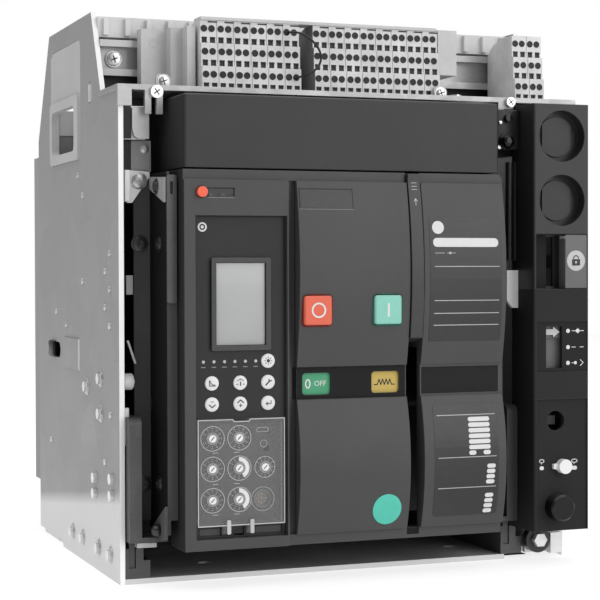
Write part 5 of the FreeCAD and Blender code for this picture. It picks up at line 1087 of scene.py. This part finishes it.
# ---------------------------------------------------------------- terminals

TERMINAL_GROUPS = ((-87.0, 6), (-17.6, 8), (114.4, 2))      # where a row starts, and its blocks
BLOCK_PITCH, BLOCK_MIDDLE = 10.16, 5.0
TIERS = ((16.0, 288.6), (18.0, 302.0), (20.0, 315.4))       # each tier's face and the height of its clamps
SQUARE_DROP = 6.8


def terminal_details():
    """Round clamp openings and the dark square ends with their dark rims, all painted shade for the hollows, one
    marker dash per block and the lines between blocks.
    """
    rounds, squares, rims, dashes, joints = [], [], [], [], []
    for start, count in TERMINAL_GROUPS:
        for block in range(count):
            left = start + BLOCK_PITCH * block
            centre = left + BLOCK_MIDDLE
            for face, level in TIERS:
                for side in (-1, 1):
                    rounds.append((centre - 0.4 + side * 2.3, face, level))
                    squares.append((centre + side * 2.5, face + 1.2, level - SQUARE_DROP))
                    rims += [(centre + side * 2.5, face - 0.03, level - SQUARE_DROP + up) for up in (-1.6, 1.6)]
                if block:
                    joints.append((left - 0.1, face - 0.05, level - 1.0))
            if count > 2:
                dashes.append((centre + 2.5, TIERS[-1][0] - 0.06, 319.3))
    # the dark cups, the black blocks in the square entries and the dark rims on their lips are painted shade of the
    # hollows
    heads("clamp_openings", rounds, "cradle", "black_plastic", (20, 2.0, 0.2, 0.9, 0.75, 0.15, 2.0), "opening_dark")
    bars("wire_entries", squares, "cradle", "black_plastic", "black_plastic", (3.3, 0.3, 3.1))
    bars("entry_rims", rims, "cradle", "black_plastic", "opening_dark", (3.3, 0.12, 0.75), 0.95)
    bars("marker_dashes", dashes, "cradle", "black_plastic", "ink_dark", (5.6, 0.15, 0.8))
    bars("block_joints", joints, "cradle", "terminal_plastic", "ink_line", (0.22, 0.1, 11.6))


# where each cross recess lies (x, depth, z), half its length and its turn
CROSSES = ((-120.0, -5.4, 275.3, 1.9, 35), (100.7, -5.4, 276.5, 1.9, 35), (-128.6, 56.0, 300.2, 2.0, 20),
           (-111.2, 11.4, 283.2, 2.0, 20), (62.4, 11.4, 282.2, 2.0, 20))


def crossbar_screws():
    """The screws of the terminals' rail and its feet, and the cross recesses in these and the crossbar's."""
    heads("rail_screws", [(-128.6, 58.0, 300.2)], "cradle", "bright_steel", (24, 4.2, 1.6, 0.8, 0.3, 0.4, 4.9))
    feet = Piece("rail_feet", "cradle", "galvanised")
    for x, z in ((-111.2, 283.2), (62.4, 282.2)):
        feet.prism(rounded(x - 4.4, x + 4.4, 279.2, z + 4.2, 3.4), 13.0, 14.2)
    feet.done()
    heads("foot_screws", [(-111.2, 13.0, 283.2), (62.4, 13.0, 282.2)], "cradle", "bright_steel",
          (24, 2.7, 1.4, 0.75, 0.3, 0.4, 3.6))
    crosses = Piece("screw_crosses", "cradle", "black_plastic", "dark_screw")
    for x, depth, z, reach, turn in CROSSES:
        for angle in (turn, turn + 90):
            crosses.stroke([around(x, z, reach, reach, angle + 180), around(x, z, reach, reach, angle)], 0.7,
                           depth=depth, rise=0.1)
    crosses.done()
    Piece("end_cap_mark", "cradle", "white_plastic", "cap_plastic").ring(
        -108.2, 309.1, 2.6, 2.1, 43.8, 44.1, 24).done()


# ---------------------------------------------------------------- side plates

PRESSED_MARKS = [(19.6, 185.6), (30.2, 175.4), (20.0, 165.2), (30.6, 154.8), (20.4, 144.2), (97.8, 233.9),
                 (84.9, 221.2), (86.1, 169.4), (158.8, 149.7), (130.1, 142.2), (19.0, 93.7), (32.4, 65.6),
                 (175.9, 65.6)]
PLATE_BOLTS = [(42.5, 113.0), (76.8, 106.3), (42.5, 92.6), (115.7, 14.0), (88.8, 14.0), (48.5, 14.0), (20.7, 14.0)]
PLATE_FACE = 141.0


def side_plate_details():
    """Pressed marks, partly a painted glint in their bright finish, with a painted shadow under each, bolt washers
    on the side plates, the dark stub, and what shows in the openings, with painted shade low in the hand hole.
    """
    for name, x, facing in (("left", -PLATE_FACE, LEFTWARD), ("right", PLATE_FACE, RIGHTWARD)):
        # the marks' silvered finish is partly a painted glint; the dark bar under each mark is a painted shadow
        heads("pressed_marks_" + name, [(x, depth, z) for depth, z in PRESSED_MARKS], "cradle", "galvanised",
              (16, 1.9, 0.8, 0.75, 0.6, 0.45, 1.9), "silvered", facing)
        bars("pressed_mark_shadows_" + name, [(x, depth - 0.4, z - 2.1) for depth, z in PRESSED_MARKS], "cradle",
             "galvanised", "ink_line", (0.16, 2.0, 0.7))
        heads("bolt_washers_" + name, [(x, depth, z) for depth, z in PLATE_BOLTS], "cradle", "bright_steel",
              (24, 4.4, 0.8, 0.92, 0.7, 0.05, 5.2), facing=facing)
    Piece("rear_stub", "cradle", "black_plastic").block((-143.2, 161.5, 121.0), (-140.5, 175.5, 130.5), 0.9).done(40)
    Piece("grip_inner_wall", "cradle", "light_plastic").prism(
        box(-138.9, -125.0, 263.0, 279.0), 166.0, 168.0).side(
        [(62.6, 274.6), (69.4, 274.6), (69.8, 287.0), (66.0, 287.6), (63.0, 286.8)], -139.9, -139.2).done()
    # a dark sheet low in the hand hole: painted shade
    Piece("hand_hole_shade", "cradle", "dark_plastic", "ink_line").prism(
        box(-138.9, -120.0, 248.0, 262.9), 166.5, 168.0).done()


def shade_behind_rail():
    """A dark sheet behind the terminals' hat rail: painted shade where the view passes to the dark parts behind it.
    """
    Piece("terminal_rear_shade", "cradle", "dark_plastic", "ink_dark").prism(
        [(-138.8, 262.0), (-121.0, 262.0), (-121.0, 273.4), (138.8, 273.4), (138.8, 312.6), (-138.8, 312.6)],
        61.0, 62.0).done()


BRACE_SIDES = (-121.6, -120.1)


def left_gap_braces():
    """Braces, strips and screws between the left side plate and the front cover."""
    # the steel gusset takes a near-white finish, lighter than its steel: painted light
    Piece("corner_brace", "breaker", "bright_steel", "tab_plastic").prism(
        [(-134.0, 232.2), (-134.0, 213.7), (-130.9, 213.7), (-120.7, 228.5), (-120.7, 231.3)], 8.4, 9.8).done()
    Piece("upper_brace", "breaker", "black_steel", "brace_steel").side(
        [(-22.9, 213.0), (5.9, 221.5), (5.8, 228.3), (-23.1, 226.8)], *BRACE_SIDES).side(
        [(-23.6, 27.7), (11.3, 22.6), (11.2, 27.1), (-23.9, 45.9)], *BRACE_SIDES).done()
    # the flange is near-white: a painted highlight of its lit left edge
    Piece("brace_flange", "breaker", "bright_steel", "tab_plastic").block(
        (-136.4, 3.8, 214.2), (-133.4, 9.6, 232.0), 0.4).done(40)
    Piece("gap_strip", "breaker", "dark_plastic", "strip_plastic").prism(
        rounded(-120.0, -114.6, 157.8, 228.1, 1.2), -24.6, -23.2,
        rounded(-118.3, -116.6, 217.5, 224.5, 0.7)).done()
    heads("brace_screw", [(-127.1, 8.4, 226.2)], "breaker", "bright_steel", (24, 4.0, 1.8, 0.75, 0.35, 0.7, 4.9))
    heads("wing_screws", [(-126.3, 10.0, 190.7), (-124.2, 10.0, 54.7)], "breaker", "black_plastic",
          (24, 3.8, 1.2, 0.8, 0.5, 0.6, 5.0), "dark_screw")
    heads("plate_screws", [(-120.0, -8.1, 190.4), (-120.0, -8.0, 56.7), (-121.6, -8.6, 222.3)], "breaker",
          "black_plastic", (24, 3.2, 1.4, 0.8, 0.5, 0.6, 4.6), "dark_screw", LEFTWARD)
    Piece("brace_stud", "breaker", "bright_steel", "dark_screw").turned(
        [(3.1, 0.0), (3.5, 1.5), (3.2, 3.3), (2.3, 4.5), (0.9, 5.1)], (-121.6, -12.4, 31.6), (-1, 0, 0)).done(40)
    pins = Piece("cover_pins", "breaker", "bright_steel")
    for z, length in ((110.3, 5.2), (87.0, 5.4)):
        pins.turned([(1.0, 0.0), (1.0, length), (0.7, length + 0.4)], (-113.4, -20.0, z), (-1, 0, 0), 14)
    pins.done(40)
    Piece("rail_ledge", "rail_left", "bright_steel", "galvanised").block(
        (-133.2, -8.0, 21.4), (-121.9, -2.0, 24.2), 0.4).done()
    Piece("plate_roller", "cradle", "white_plastic").turned(
        [(4.2, 0.0), (4.7, 0.6), (4.7, 6.4), (4.2, 7.0), (1.6, 7.0), (1.5, 8.0)], (-138.9, 6.0, 113.3),
        (1, 0, 0), 28).block((-138.9, 0.5, 77.7), (-135.2, 2.5, 99.0), 0.5).done(40)
    Piece("plate_catch", "cradle", "bright_steel", "galvanised").block(
        (-134.2, 10.0, 162.0), (-130.0, 11.2, 173.0), 0.4).prism(
        [(-135.8, 136.5), (-134.6, 136.5), (-130.2, 123.5), (-131.4, 123.5)], 3.0, 4.4).done()
    Piece("folded_bracket", "cradle", "galvanised", "bracket_sheet").prism(
        [(-132.1, 267.4), (-132.1, 255.0), (-130.9, 251.0), (-128.6, 249.5), (-122.3, 249.5), (-122.3, 267.4)],
        3.0, 4.2).done()
    Piece("folded_bracket_foot", "cradle", "galvanised", "brace_steel").prism(
        rounded(-131.4, -120.7, 232.4, 248.8, 0.4), 8.6, 9.6).done()
    # black patches beside the folded bracket: painted shade
    Piece("bracket_painted_shade", "cradle", "black_plastic").prism(
        box(-138.7, -131.6, 231.6, 249.0), 9.2, 9.7).prism(box(-138.7, -132.4, 249.6, 271.6), 4.2, 4.7).done()
    heads("fold_screw", [(-123.6, 8.6, 244.0)], "cradle", "bright_steel", (24, 2.1, 1.2, 0.75, 0.4, 0.6, 2.5))


# ---------------------------------------------------------------- light and floor

FLOOR_ACROSS, FLOOR_ALONG = (-3, -0.12, 0.12, 3), (-3, -0.095, 0.095, 3)
FLOOR_LEVEL = -0.0002
FLOOR_SHADOW_FIELD = 4        # the middle one of the floor's nine fields, a painted shadow under the base
LIGHTS = {"front": ((1.3, -2.2, 1.0), 1.8, 33), "above": ((0.0, 0.0, 3.0), 5.0, 118),
          "left": ((-2.4, -0.5, 0.7), 1.6, 3)}      # place, size and power
LIGHTS_AIM = (0, 0, 0.16)


def studio():
    """A pale floor with a painted shadow under the base, and soft light from the front, from above and from the
    left.
    """
    floor = bpy.data.meshes.new("floor")
    floor.from_pydata([(x, y, FLOOR_LEVEL) for y in FLOOR_ALONG for x in FLOOR_ACROSS], [],
                      [(4 * j + i, 4 * j + i + 1, 4 * j + i + 5, 4 * j + i + 4) for j in range(3) for i in range(3)])
    # the second floor material is dark and does not glow: a painted shadow under the base
    for name, tone, glow in (("pale_floor", 0.28, 0.78), ("floor_painted_shadow", 0.02, 0.0)):
        w, shader = new_material(name)
        w.give(shader, {"Base Color": (tone, tone, tone, 1), "Roughness": 0.9,
                        "Emission Color": (1, 1, 1, 1), "Emission Strength": glow})
        floor.materials.append(FINISH[name])
    floor.polygons[FLOOR_SHADOW_FIELD].material_index = 1
    ground = show("floor", floor)
    world = bpy.data.worlds.new("studio")
    bpy.context.scene.world = world
    world.use_nodes = True
    w = Wiring(world.node_tree)
    seen = w.add("ShaderNodeLightPath").outputs["Is Camera Ray"]
    w.give(world.node_tree.nodes["Background"], {0: (1.0, 1.0, 1.0, 1), 1: w.span(seen, 0.0, 1.0, 0.3, 1.0)})
    for name, (spot, size, power) in LIGHTS.items():
        light = bpy.data.lights.new(name, "AREA")
        light.size, light.energy = size, power
        lamp = show(name, light)
        lamp.location = spot
        lamp.rotation_euler = (Vector(LIGHTS_AIM) - Vector(spot)).to_track_quat("-Z", "Y").to_euler()
    bpy.context.scene.view_settings.view_transform = "Standard"


set_camera()
jumper_wire(FINISH["cable"])
finish_solids()
cover_skin = skin_of("front_cover")
trip_keys()
trip_lamps()
trip_dials()
trip_socket()
trip_recess_line()
flags_and_buttons(cover_skin)
bare_recesses(cover_skin, skin_of("charging_handle"))
cover_labels(cover_skin)
module_marks(skin_of("racking_housing"))
right_gap_mechanism()
terminal_details()
crossbar_screws()
side_plate_details()
shade_behind_rail()
left_gap_braces()
studio()
